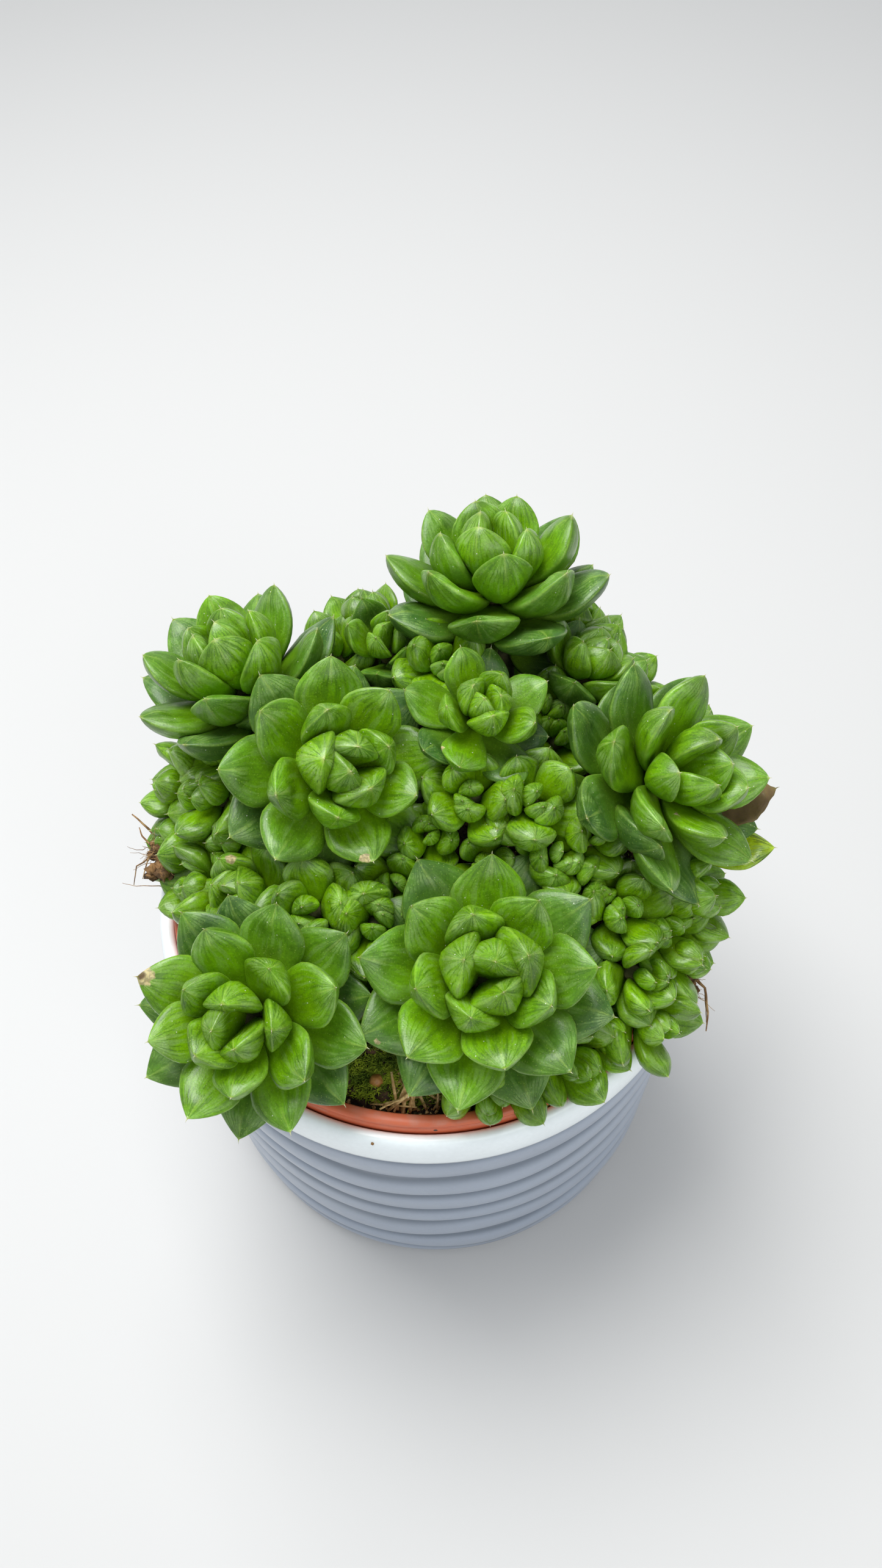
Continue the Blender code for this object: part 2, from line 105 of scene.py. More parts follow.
# Where two would cross, the one that comes first here keeps its shape and the other makes room.
ROSETTES = (
    Rosette("rosette_front", 12, -41, 145, 21, -80, 23, 31, 18.5, 236, 1, 0, 84, 4),
    Rosette("offset_front_left_1", -26, -24, 144, 25, -110, 8, 15, 13, 40),
    Rosette("offset_front_left_2", -12, -27, 143, 25, -90, 8, 15, 12, 190),
    Rosette("rosette_front_left", -39, -49, 145, 34, -110, 20, 28, 16, 314, -1, 3, 80, 3),
    Rosette("rosette_left", -19, 2, 162, 36, -56, 19, 28, 18, 211, 1, 0, 78, 6),
    Rosette("rosette_right", 55, -2, 160, 41, -28, 19, 30, 16, 12, 1, 10, 72, 7),
    Rosette("rosette_back", 18, 51, 171, 18, 106, 18, 30, 18, 292, 1, 14, 76, 10),
    Rosette("rosette_back_left", -44, 32, 160, 21, 143, 17, 29, 17, 249, 1, 18, 84, 6),
    Rosette("rosette_middle", 13, 12, 168, 16, -58, 10, 19, 13, 78, -1, 10, 80, 4),
    Rosette("offset_middle_1", 11, -3, 157, 22, -110, 8, 14, 11.5, 20),
    Rosette("offset_middle_2", 24, -5, 157, 20, -60, 8, 15, 13, 70),
    Rosette("offset_middle_3", 1, -8, 149, 25, -100, 6, 11, 9.5, 150),
    Rosette("offset_middle_4", 29, -14, 149, 30, -60, 7, 13, 10.5, 220),
    Rosette("offset_middle_5", 37, -11, 151, 25, -40, 7, 12, 10, 10),
    Rosette("offset_middle_6", 13, -14, 146, 25, -90, 6, 11, 8.5, 300),
    Rosette("offset_middle_7", -7, -17, 142, 25, -100, 7, 13, 10.5, 100),
    Rosette("offset_middle_8", 32, 19, 147, 15, -60, 7, 13, 10.5, 30, 1, 30, 84),
    Rosette("offset_left_1", -47, 18, 148, 50, 215, 8, 16, 12, 160),
    Rosette("offset_left_2", -51, 10, 140, 50, 210, 8, 16, 12, 280),
    Rosette("offset_left_3", -49, 3, 133, 50, 220, 7, 15, 11.5, 30),
    Rosette("offset_left_4", -60, 17, 133, 65, 180, 8, 17, 12, 90),
    Rosette("offset_left_5", -43, -14, 132, 30, 200, 8, 18, 14, 130),
    Rosette("offset_left_6", -55, -7, 125, 55, 195, 7, 16, 12, 250),
    Rosette("offset_left_7", -62, 8, 123, 70, 190, 7, 15, 11.5, 60),
    Rosette("offset_back_1", 6, 31, 163, 20, -110, 8, 15, 13, 60),
    Rosette("offset_back_2", -8, 41, 157, 10, -90, 6, 18, 10.5, 120, 1, 50, 84),
    Rosette("offset_back_3", -3, 31, 150, 20, -120, 6, 13, 10.5, 200, 1, 30, 84),
    Rosette("offset_back_4", -22, 45, 150, 15, 120, 7, 15, 10.5, 60, 1, 35, 84),
    Rosette("offset_back_right_1", 41, 34, 155, 30, 20, 9, 18, 14, 100),
    Rosette("offset_back_right_2", 50, 37, 145, 45, 15, 8, 16, 11.5, 310),
    Rosette("offset_back_right_3", 30, 25, 151, 15, -60, 7, 14, 10, 240, 1, 35, 84),
    Rosette("offset_right_1", 44, -24, 139, 25, -50, 8, 15, 11.5, 330),
    Rosette("offset_right_2", 53, -26, 134, 40, -40, 7, 15, 11, 110),
    Rosette("offset_right_3", 61, -17, 135, 50, -20, 8, 16, 11.5, 20),
    Rosette("offset_right_4", 58, -29, 127, 60, -30, 7, 14, 11, 200),
    Rosette("offset_right_5", 47, -36, 132, 45, -50, 7, 15, 11, 270),
    Rosette("offset_right_6", 50, -43, 122, 65, -45, 7, 16, 11.5, 60),
    Rosette("offset_right_7", 60, -3, 133, 60, -8, 7, 19, 13, 0),
    Rosette("offset_right_8", 38, -18, 143, 28, -50, 7, 14, 11, 180),
    Rosette("offset_front_1", 29, -51, 122, 60, -60, 7, 17, 12, 250),
    Rosette("offset_front_2", 38, -46, 121, 65, -50, 6, 15, 11, 100),
    Rosette("offset_front_3", 14, -57, 121, 60, -85, 6, 16, 11, 270),
    Rosette("offset_front_4", -14, -40, 129, 35, -100, 6, 14, 10.5, 50),
    Rosette("offset_rear_1", -9, 53, 128, 60, 100, 8, 20, 14.5, 80),
    Rosette("offset_rear_2", 14, 55, 128, 60, 76, 8, 20, 14.5, 150),
    Rosette("offset_rear_3", 35, 44, 128, 58, 52, 8, 19, 14, 10),
    Rosette("offset_rear_4", 52, 26, 128, 58, 28, 8, 19, 14, 320),
    Rosette("offset_rear_5", -32, 46, 128, 60, 124, 8, 19, 14, 230),
    Rosette("offset_rear_6", -50, 29, 128, 60, 150, 8, 18, 13.5, 170),
    Rosette("offset_rear_7", -14, 55, 148, 35, 105, 9, 19, 14, 300),
    Rosette("offset_rear_8", 40, 52, 146, 40, 55, 8, 18, 13.5, 200),
    Rosette("offset_rear_9", 62, 20, 146, 40, 20, 8, 18, 13.5, 40),
)

# Stems: how far from the pots' axis a foot is wanted at most and may stand, how many sides a fine stem has
# and by what share of its crown's radius it is thinner.
FOOT_WANTED = 50.0
FOOT_LIMIT = 54.0
FINE_STEM_SIDES = 14
STEM_THINNED = 0.25

# How fine leaves are made where they reach SMALL_LEAF and where they are smaller: points round a section and
# sections along the leaf, its upper face's height in shares of half its width, how sharp its keel gets, how
# young even the outermost is shaped and how much older it looks, and how much wider and longer the innermost
# grow. Then how much of its lost size a leaf gets back, how far the inner ones return to their spiral, and
# the rows of BUD_LEAVES that close the rosette.
Kind = namedtuple("Kind", "sides stations crown sharpness youth ageing widen lengthen regrow tidy buds")
LARGE = Kind(22, 15, 0.20, 1, 0, 0.85, 0.32, 0.60, 0, 0, (0, 1, 2, 3))
SMALL = Kind(16, 11, 0.30, 0.35, 0.7, 0.32, 0.30, 0.95, 0.7, 0.7, (4, 5))
STRAY = LARGE._replace(sides=26, stations=20)

# A fine leaf's last section lies just short of its tip, and the sections close up towards it.
LAST_STATION = 0.997
STATION_EASE = 1.4
# How far a leaf may roll from root to tip, in degrees, and how plump it may be.
LEAF_ROLL = 9.0
LEAF_PLUMPNESS = (0.92, 1.1)
# Its section, in shares of half its width: how far its edges rise, the ridge by its tip, and its keel at
# the root, along it and on the youngest.
LEAF_CUP = 0.05
TIP_RIDGE = 0.22
ROOT_KEEL = 0.24
LEAF_KEEL = 0.30
YOUNG_KEEL = 0.34
# How full the face, the ridge and the keel are rounded.
FACE_FULLNESS = 3.2
RIDGE_FULLNESS = 1.1
KEEL_FULLNESS = 2.2
# Where along the leaf the ridge stands and how far it reaches from there.
RIDGE_PLACE = 0.88
RIDGE_REACH = 0.13
# How high a leaf's bumps are and how closely they follow each other.
LEAF_BUMP = 0.35
BUMP_FINENESS = 0.16
# By what share the outermost leaves curl less, and how suddenly leaves widen and lengthen to the heart.
OUTER_UNCURL = 0.15
HEART_POWER = 1.6
# The awn, shorter on old leaves and on leaves of rosettes below the full length.
AWN_LENGTH = 1.2
AWN_RADIUS = 0.15
AWN_BEND = 0.6
OLD_AWN = 0.4
FULL_AWN_LEAF = 20
# What each vertex of a leaf tells its finish.
SURFACE_VALUES = ("along", "girth", "youth", "chance", "dry")
# The youngest leaves of a rosette: how far from its axis each starts and how wide and long it is, as
# shares of the rosette's leaves, then the angle that it starts at and how far it curls inwards.
BUD_LEAVES = (
    (0.055, 0.84, 0.58, 62, 16),
    (0.045, 0.80, 0.56, 66, 16),
    (0.035, 0.76, 0.53, 70, 14),
    (-0.02, 0.78, 0.56, 76, 12),
    (0.01, 0.52, 0.52, 80, 10),
    (0.06, 0.54, 0.52, 68, 14),
)
# How young a rosette's innermost leaves look, how slim its leaves are, how many degrees its inner ones
# lean out, by what share these curl less and how sharply its leaves taper.
LOOKS = {
    "rosette_front": (0.85, 1.0, 14, 0.72, 1.0),
    "rosette_front_left": (0.95, 0.98, 12, 0.70, 0.95),
    "rosette_left": (0.85, 0.94, 6, 0.50, 0.82),
    "rosette_right": (0.80, 0.97, 6, 0.50, 0.82),
    "rosette_back": (0.75, 0.97, 4, 0.40, 0.78),
    "rosette_back_left": (0.85, 0.96, 4, 0.40, 0.78),
    "rosette_middle": (1.0, 0.90, 2, 0.50, 0.80),
    # Painted light: the left offsets' leaves are made lighter and yellower than the other offsets', as if
    # younger, for the stronger light on that side.
    "offset_left": (1.6, 1.04, 12, 0.70, 0.90),
}
OFFSET_LOOK = (1.25, 0.98, 14, 0.70, 0.90)

# Dry scars on the leaves: where each is and how far it reaches.
SCARS = (
    (Vector((12.6, 46.4, 179.8)), 2.4),
    (Vector((-60.8, -41.0, 150.8)), 4.2),
    (Vector((-13.2, -18.5, 157.6)), 2.2),
    (Vector((-45.8, -8.0, 142.0)), 2.6),
    (Vector((4.1, 2.2, 168.7)), 1.8),
    (Vector((-11.2, -52.3, 138.0)), 2.0),
    (Vector((55.0, -12.1, 161.6)), 1.6),
)

# Leaves outside the rosettes' spirals: where each starts and ends, its width, how young it looks and
# how dry it is. They start that many degrees below a straight way and curl up, and a dry one crumples.
STRAY_LEAVES = {
    "withered_leaf": ((61, -2, 144.5), (81.5, 1, 150.5), 13, 0.0, 1.0),
    "yellowing_leaf": ((62, -7.5, 139), (81, -10, 142), 12, 1.6, 0.0),
}
STRAY_START = -12
STRAY_CURL = 24
# Crumples of a dry leaf: how high and how closely they follow each other.
CRUMPLES = ((1.1, 0.35), (0.5, 0.9))

# Fine cover pot: the points round it, its rounded foot, as distances from FOOT_R and heights, then its wall
# and its grooves.
POT_TURNS = 180
FOOT_SECTION = ((-4, 0), (-0.6, 0.1), (0.9, 0.7), (2.0, 2.2))
WALL_LOW = 3.0
WALL_STEP = 0.55
WALL_BULGE = 0.3
FOOT_FLARE = 2.2
RIB_TOP = RIM_Z - 7.0
RIB_WANDER = 2.8
LOWEST_CREST = 2.0
GROOVE_DEPTH = 1.7
GROOVE_WIDTH = 2.3
# How much of a groove's depth is one soft hollow between the ribs, the rest being the line within it.
HOLLOW_SHARE = 0.45
# The sloping collar: its low edge, where it turns in and how round it is, then the rim's top and inner edge.
COLLAR_LOW = RIM_Z - 6.8
COLLAR_R = 67.2
COLLAR_ROUND = 0.9
FINE_RIM_Z = RIM_Z + 1.2
RIM_EDGE_R = 65.6
# The ribbed wall's height, which ends it just below the collar.
WALL_HEIGHT = COLLAR_LOW - 3.5

# Fine lip of the nursery pot: its underside and its steps, as distances from FINE_LIP_R, and its inside, as
# distances from the wall's, with heights over the lip's underside or over its top.
FINE_LIP_R = 65.25
LIP_UNDERSIDE = ((-0.6, 0), (-0.1, 0.3), (0, 0.8))
LIP_STEPS = (
    (0, -2.5),
    (-0.1, -2.1),
    (-0.45, -1.9),
    (-0.45, -1.5),
    (-0.2, -1.2),
    (-0.3, -0.6),
    (-0.6, -0.15),
    (-1.1, 0),
)
LIP_INSIDE = ((0.5, -0.1), (0.1, -0.6), (0, -1.6))
# Edges that turn by more than this many degrees stay sharp.
SHARP_EDGE = 50

# Fine peat: its rings and turns, then its clods and crumbs, in layers that each have a height, how closely
# the bumps follow each other and where they start.
PEAT_RINGS = 64
PEAT_TURNS = 200
PEAT_CLODS = ((1.1, 0.22, (0, 0, 0)), (0.7, 0.6, (7, 3, 1)))
PEAT_CRUMBS = ((0.45, 1.5, (0, 0, 0)), (0.3, 3.1, (0, 0, 0)))

# What lies on the peat: how much of each, and how far from the pots' axis it may lie. A share of the moss
# and of the straw is heaped at the front, round a centre and spread by so much each way.
MOSS_CENTRE = Vector((-9, -51))
MOSS_SPREAD = (10, 4.5)
MOSS_HEAPED = 0.6
MOSS_TUFTS = 2600
MOSS_BLADES = 6
MOSS_HEIGHTS = (0.9, 2.8)
MOSS_REACH = 58
MOSS_LIMIT = 58.5
STRAW_CENTRE = Vector((-4, -56.5))
STRAW_SPREAD = (9, 2.2)
STRAW_HEAPED = 0.4
STRAW_BITS = 110
STRAW_LENGTHS = (2.5, 7.5)
STRAW_WIDTHS = (0.25, 0.8)
STRAW_REACH = 57
STRAW_START_LIMIT = 57.5
STRAW_END_LIMIT = 60
STRAW_THICKNESS = 0.09
STRAW_CRUMBS = 150
CRUMB_LIMIT = 61
BARK_CHIPS = 620
BARK_REACH = 59
BARK_LIMIT = 60.5
PELLET_R = 1.6
PELLET_SPOTS = ((-13.5, -52.5), (31, 14), (-24, 40), (18, 47), (-48, -18))

# Straw in the front heap: where each bit starts, the way it points, its tilt, its length and its width.
STRAW_HEAP = (
    (-7.5, -59.8, 80, 42, 13, 1.1),
    (-6.0, -59.6, 70, 50, 15, 1.3),
    (-9.5, -59.4, 58, 34, 12, 0.8),
    (-11.0, -59.2, 28, 26, 12, 0.8),
    (-4.5, -59.2, 108, 46, 13, 0.8),
    (-2.0, -59.0, 124, 36, 12, 0.9),
    (-8.5, -59.0, 100, 30, 9, 0.7),
    (0.5, -59.4, 84, 44, 10, 0.6),
    (-15, -57.4, -8, 6, 11, 0.7),
    (-3.5, -56.4, 200, 14, 10, 0.8),
    (4.5, -58.2, 160, 16, 9, 0.7),
    (-12, -57.8, 12, 8, 9, 1.0),
)

# Roots: where each starts, the steps that it takes from there, and its radius.
ROOTS = (
    ((-64, 9, 116), ((-3, 0, 3), (-4, 3, 4), (-4, 3, 2)), 0.6),
    ((-65, 5, 117), ((-3, 1, 3), (-5, 5, 1), (-2, 4, -2)), 0.45),
    ((-64, 12, 116), ((-4, -3, 4), (-4, -4, 1), (-1, -5, -2)), 0.4),
    ((-66, 8, 117), ((-4, 0, 1), (-5, -2, -2), (-1, -3, -4)), 0.35),
    ((-63, -2, 116), ((-5, 0, 3), (-6, 1, -1), (-4, 0.5, 0)), 0.16),
    ((57.5, -27.5, 116.5), ((4, -3, 3), (3.5, -3.5, -1.5), (0.6, -4, -5), (0.2, -2, -6)), 0.5),
    ((58, -28.5, 116.5), ((4, -2, 2.5), (3, -4, -1), (0.4, -4.2, -5), (0.4, -1.6, -5)), 0.32),
    ((59, -33, 116), ((3, -2, 3), (3, -2, 0), (2, -2, -1)), 0.14),
)
ROOT_HAIRS = 150
HAIR_RADIUS = 0.1
CLODS = 90
# The clods hang at the right and at the left, and one crumb lies on the rim.
CLOD_CENTRES = (Vector((59.5, -33.5, 119)), Vector((-67, 3, 124.5)))
RIM_CRUMB = Vector((-14.3, -67.4, 113.8))
RIM_CRUMB_R = 0.36

# Colours
OLD_GREEN = (0.040, 0.114, 0.018)
MID_GREEN = (0.122, 0.304, 0.001)
YOUNG_GREEN = (0.160, 0.342, 0.001)
YELLOW_GREEN = (0.520, 0.700, 0.012)
ROOT_GREEN = (0.160, 0.330, 0.002)
TIP_GREEN = (0.092, 0.208, 0.014)
VEIN_GREEN = (0.034, 0.105, 0.006)
WINDOW_GREEN = (0.250, 0.400, 0.120)
# PALE_GREEN also paints the highlight along a leaf's midline by its tip.
PALE_GREEN = (0.320, 0.460, 0.080)
SPECK_COLOUR = (0.50, 0.58, 0.40)
SCAR_COLOUR = (0.30, 0.26, 0.12)
CRUST_COLOUR = (0.56, 0.47, 0.24)
TIP_SCAR_COLOUR = (0.46, 0.50, 0.16)
AWN_COLOUR = (0.48, 0.50, 0.30)
HUSK_DARK = (0.060, 0.028, 0.010)
HUSK_PALE = (0.210, 0.150, 0.055)
STEM_DARK = (0.035, 0.045, 0.012)
STEM_PALE = (0.14, 0.12, 0.05)
DUST_COLOUR = (0.42, 0.38, 0.33)
# The glaze: its own pale blue-grey, painted near white on the collar as light, painted darker on the wall as
# shade, and darker still in the grooves as painted shade where the glaze also pools.
RIM_GLAZE_PAINTED_LIGHT = (0.91, 0.98, 1.0)
WALL_GLAZE_PAINTED_SHADE = (0.335, 0.390, 0.480)
GROOVE_GLAZE_AND_PAINTED_SHADE = (0.130, 0.165, 0.215)
GLAZE_SPECK = (0.12, 0.12, 0.12)
TERRACOTTA = (0.64, 0.148, 0.064)
TERRACOTTA_SPECK = (0.06, 0.04, 0.03)
PEAT_DARK = (0.010, 0.007, 0.005)
PEAT_PALE = (0.075, 0.047, 0.028)
PEAT_GREEN = (0.030, 0.050, 0.008)
PEAT_SPECK = (0.30, 0.24, 0.16)
FLOOR_COLOUR = (0.62, 0.62, 0.61)
ROOM_COLOUR = (0.93, 0.96, 1.0, 1)

# Grained finishes: their dark and pale colours, how fine the grain is, how rough and how mottled.
GRAINED = {
    "moss_green": ((0.110, 0.190, 0.005), (0.480, 0.620, 0.035), 300.0, 0.8, 0.5),
    "dry_straw": ((0.47, 0.29, 0.10), (0.92, 0.68, 0.31), 700.0, 0.75, 0.5),
    "bark": ((0.020, 0.011, 0.007), (0.110, 0.055, 0.028), 420.0, 0.85, 1.2),
    "feed_pellet": ((0.36, 0.15, 0.04), (0.52, 0.26, 0.07), 600.0, 0.5, 0.3),
    "dry_root": ((0.17, 0.085, 0.030), (0.42, 0.26, 0.11), 500.0, 0.85, 0.5),
    "peat_clod": ((0.060, 0.032, 0.013), (0.30, 0.165, 0.065), 450.0, 0.95, 0.5),
}

# How many veins cross a leaf, then how fine its streaks are, how drawn out they are and how much they differ
# between leaves.
VEINS = 13.0
STREAKS = 5.5
STREAK_STRETCH = 0.5
STREAK_SHUFFLE = 40.0
# A leaf's mottling, from its large patches to its fine grain: how fine and how strong each is.
LEAF_MOTTLING = ((120.0, 1.3), (420.0, 0.6), (2400.0, 0.7))

# Stage, with the lamps, the point that they light and the camera in metres.
FLOOR_REACH = 3000.0
ROOM_LIGHT = 0.54
LAMPS = (("overhead", (-0.20, 0.25, 1.0), 0.6, 10.6), ("front_fill", (0.5, -0.9, 0.9), 0.8, 4.1))
LIT_POINT = (0, 0, 0.12)
SENSOR = 36.0
PHOTO_HEIGHT = 2569
FOCAL_PIXELS = 1900
CAMERA_PITCH = 56.8
CAMERA_ROLL = -1.85
CAMERA_PLACE = Vector((0.0038, -0.1432, 0.3771))


def axes_of(rosette):
    """The rosette's own X, Y and Z directions, its Z running up its stem."""
    lean, heading = math.radians(rosette.lean), math.radians(rosette.heading)
    up = Vector((math.sin(lean) * math.cos(heading), math.sin(lean) * math.sin(heading), math.cos(lean)))
    along_x = (Vector((1, 0, 0)) - up * up.x).normalized()
    return along_x, up.cross(along_x), up


def direction(turn, *rise):
    """The level direction that an angle points in, with a height if one is given."""
    return Vector((math.cos(turn), math.sin(turn), *rise))


def ring_round(middle, radius, across, side, count, offset=0.0):
    """A ring of points round a middle, in the plane of two directions."""
    turns = [math.tau * (step + offset) / count for step in range(count)]
    return [middle + radius * (math.cos(turn) * across + math.sin(turn) * side) for turn in turns]


def turned(outline, sides):
    """Vertices and faces of a solid turned about Z, from (radius, height) points that go round its section.

    The outline starts and ends on the axis, running up its outer side.
    """
    points, faces = [Vector((0, 0, outline[0][1])), Vector((0, 0, outline[-1][1]))], []
    rings = []
    for radius, height in outline[1:-1]:
        rings.append(range(len(points), len(points) + sides))
        for side in range(sides):
            angle = math.tau * side / sides
            points.append(Vector((radius * math.cos(angle), radius * math.sin(angle), height)))
    for side in range(sides):
        after = (side + 1) % sides
        faces.append((0, rings[0][after], rings[0][side]))
        faces.append((1, rings[-1][side], rings[-1][after]))
        for low, high in zip(rings, rings[1:]):
            faces.append((low[side], low[after], high[after], high[side]))
    return points, faces


def lofted(rings, tip=None):
    """Vertices and faces of a closed solid through rings of points, ending in a flat cap or in a tip."""
    points, faces = [], []
    count = len(rings[0])
    for ring in rings:
        points.extend(ring)
    for level in range(len(rings) - 1):
        low, high = level * count, (level + 1) * count
        for side in range(count):
            after = (side + 1) % count
            faces.append((low + side, low + after, high + after, high + side))
    faces.append(tuple(reversed(range(count))))
    last = (len(rings) - 1) * count
    if tip is None:
        faces.append(tuple(range(last, last + count)))
    else:
        points.append(tip)
        for side in range(count):
            faces.append((last + side, last + (side + 1) % count, len(points) - 1))
    return points, faces


def peat_height(x, y):
    """The peat's surface: level by the lip, with a low uneven mound under the clump."""
    reach = min(math.hypot(x, y) / SHELL_TOP_R, 1)
    bumps = 0.7 * math.sin(0.21 * x + 1.3) * math.sin(0.19 * y + 0.4) * (1 - reach)
    return PEAT_EDGE_Z + PEAT_MOUND * (1 - reach**2) ** 1.5 + bumps


def cover_pot_shape():
    """The cover pot as the part has it."""
    outline = [(0, 0), (FOOT_R, 0), (FOOT_R + 2.2, 2)]
    for low, high in zip((4, *RIB_HEIGHTS), (*RIB_HEIGHTS, None)):
        outline.append((WALL_R - RIB_DEPTH, (low + (high or RIM_Z - 9)) / 2))
        if high:
            outline.append((WALL_R, high))
    roll = (RIM_R - RIM_INNER_R) / 2
    outline.append((RIM_R - 0.6, RIM_Z - 6.5))
    for angle in (-10, 35, 75, 110, 150):
        bend = math.radians(angle)
        outline.append((RIM_R - roll + roll * math.cos(bend), RIM_Z - roll + roll * math.sin(bend)))
    outline += [(RIM_INNER_R - 0.1, RIM_Z - 6), (RIM_INNER_R - 1, FLOOR_Z + 5)]
    outline += [(RIM_INNER_R - 6, FLOOR_Z), (0, FLOOR_Z)]
    points, faces = turned(outline, POT_SIDES)
    for point in points:
        inside_wall = math.hypot(point.x, point.y) > WALL_R - RIB_DEPTH - 0.5
        if inside_wall and 5 < point.z < RIM_Z - 8:
            angle = math.atan2(point.y, point.x)
            point.z += RIB_WAVE * math.sin(2 * angle + 0.11 * point.z)
    return points, faces


def shell_radius(z):
    """Outer radius of the nursery pot's wall, which widens upwards."""
    base = FLOOR_Z + GAP
    return SHELL_BASE_R + (SHELL_TOP_R - SHELL_BASE_R) * (z - base) / (LIP_TOP - base)


def nursery_pot_shape():
    """The nursery pot as the part has it, without its drain holes."""
    base = FLOOR_Z + GAP
    lip_low = LIP_TOP - LIP_HEIGHT
    outline = [(0, base), (SHELL_BASE_R - 1, base), (SHELL_BASE_R, base + 1.5)]
    outline += [(shell_radius(lip_low - 1.5), lip_low - 1.5), (LIP_R - 0.5, lip_low), (LIP_R, lip_low + 1)]
    outline += [(LIP_R, LIP_TOP - 2.2), (LIP_R - 0.5, LIP_TOP - 0.6), (LIP_R - 1.3, LIP_TOP)]
    inner_top = shell_radius(LIP_TOP) - SHELL_WALL
    outline += [(inner_top + 0.5, LIP_TOP - 0.4), (inner_top, LIP_TOP - 1.6)]
    outline += [(SHELL_BASE_R - SHELL_WALL, base + SHELL_WALL), (0, base + SHELL_WALL)]
    return turned(outline, POT_SIDES)


def peat_radius(z):
    """The peat's radius at a height, just inside the nursery pot's wall."""
    return shell_radius(z) - PEAT_INSET - 0.05


def peat_shape():
    """The peat as the part has it, without the holes for the stems."""
    surface = [(peat_radius(PEAT_EDGE_Z) * share, PEAT_EDGE_Z) for share in (1, 0.86, 0.66, 0.44, 0.22)]
    outline = [(0, PEAT_BASE_Z), (peat_radius(PEAT_BASE_Z) - 0.4, PEAT_BASE_Z), *surface, (0, PEAT_EDGE_Z)]
    points, faces = turned(outline, PEAT_SIDES)
    for point in points:
        if point.z == PEAT_EDGE_Z:
            point.z = peat_height(point.x, point.y)
    return points, faces


class Stem:
    """A rosette's stem: it leaves the rosette along its axis and bends upright into a hole in the peat."""

    def __init__(self, rosette, foot):
        _, _, up = axes_of(rosette)
        self.sides = 6 if rosette.length >= SMALL_LEAF else 5
        top = Vector((rosette.x, rosette.y, rosette.z))
        crown = top + up * rosette.length * 0.08
        shoulder = top - up * rosette.length * 0.08
        neck = top - up * rosette.length * (0.40 + OLD_LEAF_STEP * rosette.old)
        ground = Vector((*foot, peat_height(*foot)))
        end = ground - Vector((0, 0, STEM_DEPTH - GAP))
        bend = Vector((neck.x * 0.35 + ground.x * 0.65, neck.y * 0.35 + ground.y * 0.65, 0))
        bend.z = ground.z * 0.55 + neck.z * 0.45
        self.line = [crown, shoulder, neck, bend, ground + Vector((0, 0, 1.2)), end]
        self.radii = [0.5 * CROWN_SHARE, CROWN_SHARE, STEM_SHARE, *[0.8 * STEM_SHARE] * 3]
        self.radii = [rosette.length * share for share in self.radii]
        if (neck - ground).length < 9:
            del self.line[3], self.radii[3]

    def shape(self, swell, sides=None):
        """The stem as a closed solid, its radius grown by `swell`."""
        sides = sides or self.sides
        rings = []
        for index, place in enumerate(self.line):
            before = self.line[max(index - 1, 0)]
            after = self.line[min(index + 1, len(self.line) - 1)]
            down = (after - before).normalized()
            if index >= len(self.line) - 2:
                down = Vector((0, 0, -1))
            across = down.cross(Vector((0, 1, 0))).normalized()
            side = down.cross(across)
            rings.append(ring_round(place, self.radii[index] + swell, across, side, sides, 0.5))
        return lofted(rings)


class Leaf:
    """Where one leaf lies: its centreline, an arc that curls inwards, and half its width.

    Its `index` counts from the outside, and is below 0 for the old leaves. It may be lifted, turned aside
    or grown smaller than its place in the spiral gives.
    """

    def __init__(self, rosette, index, lift=0.0, aside=0.0, size=1.0):
        along_x, along_y, self.up = axes_of(rosette)
        self.share = max(index, 0) / (rosette.leaves - 1)
        age = max(-index, 0)
        bearing = math.radians(rosette.first + rosette.turn * GOLDEN_ANGLE * index + aside)
        self.out = math.cos(bearing) * along_x + math.sin(bearing) * along_y
        self.across = self.up.cross(self.out)
        rise = rosette.opened + (rosette.closed - rosette.opened) * self.share**1.5 - 3 * age + lift
        self.start = math.radians(rise - LEAF_CURL / 2)
        self.curl = math.radians(LEAF_CURL)
        size *= 1 - 0.03 * age
        self.half_width = rosette.width * (1 - 0.5 * self.share**1.6) * size / 2
        inset = 0.6 * CROWN_SHARE * rosette.length
        self.length = rosette.length * (1 - 0.6 * self.share**1.6) * size - inset
        drop = rosette.length * (0.28 * (1 - self.share) + OLD_LEAF_STEP * age)
        self.root = Vector((rosette.x, rosette.y, rosette.z)) - self.up * drop + self.out * inset

    def place(self, station):
        """The centreline's point there, the way along it and the way out of the leaf's upper face."""
        angle = self.start + self.curl * station
        forward = (math.sin(angle) - math.sin(self.start)) / self.curl
        upward = (math.cos(self.start) - math.cos(angle)) / self.curl
        middle = self.root + self.length * (forward * self.out + upward * self.up)
        ahead = math.cos(angle) * self.out + math.sin(angle) * self.up
        return middle, ahead, math.cos(angle) * self.up - math.sin(angle) * self.out


def leaf_shape(rosette, index, lift=0.0, aside=0.0, size=1.0, swell=0.0):
    """The leaf as the part has it, its section grown all round by `swell` to test for room."""
    leaf = Leaf(rosette, index, lift, aside, size)
    large = rosette.length >= SMALL_LEAF
    rings = []
    for station in (LARGE_STATIONS if large else SMALL_STATIONS)[:-1]:
        place, _, above = leaf.place(station)
        half = leaf.half_width * leaf_profile(station) + swell
        crown = 0.36 * leaf.half_width * leaf_profile(station) + swell
        keel = 0.58 * leaf.half_width * (0.3 + 0.7 * leaf_profile(station)) + swell
        ring = []
        for degrees in LARGE_SECTION if large else SMALL_SECTION:
            turn = math.radians(degrees)
            rise_part = math.sin(turn) * (crown if degrees <= 180 else keel)
            ring.append(place + half * math.cos(turn) * leaf.across + rise_part * above)
        rings.append(ring)
    tip, ahead, _ = leaf.place(1.0)
    return lofted(rings, tip + swell * ahead)


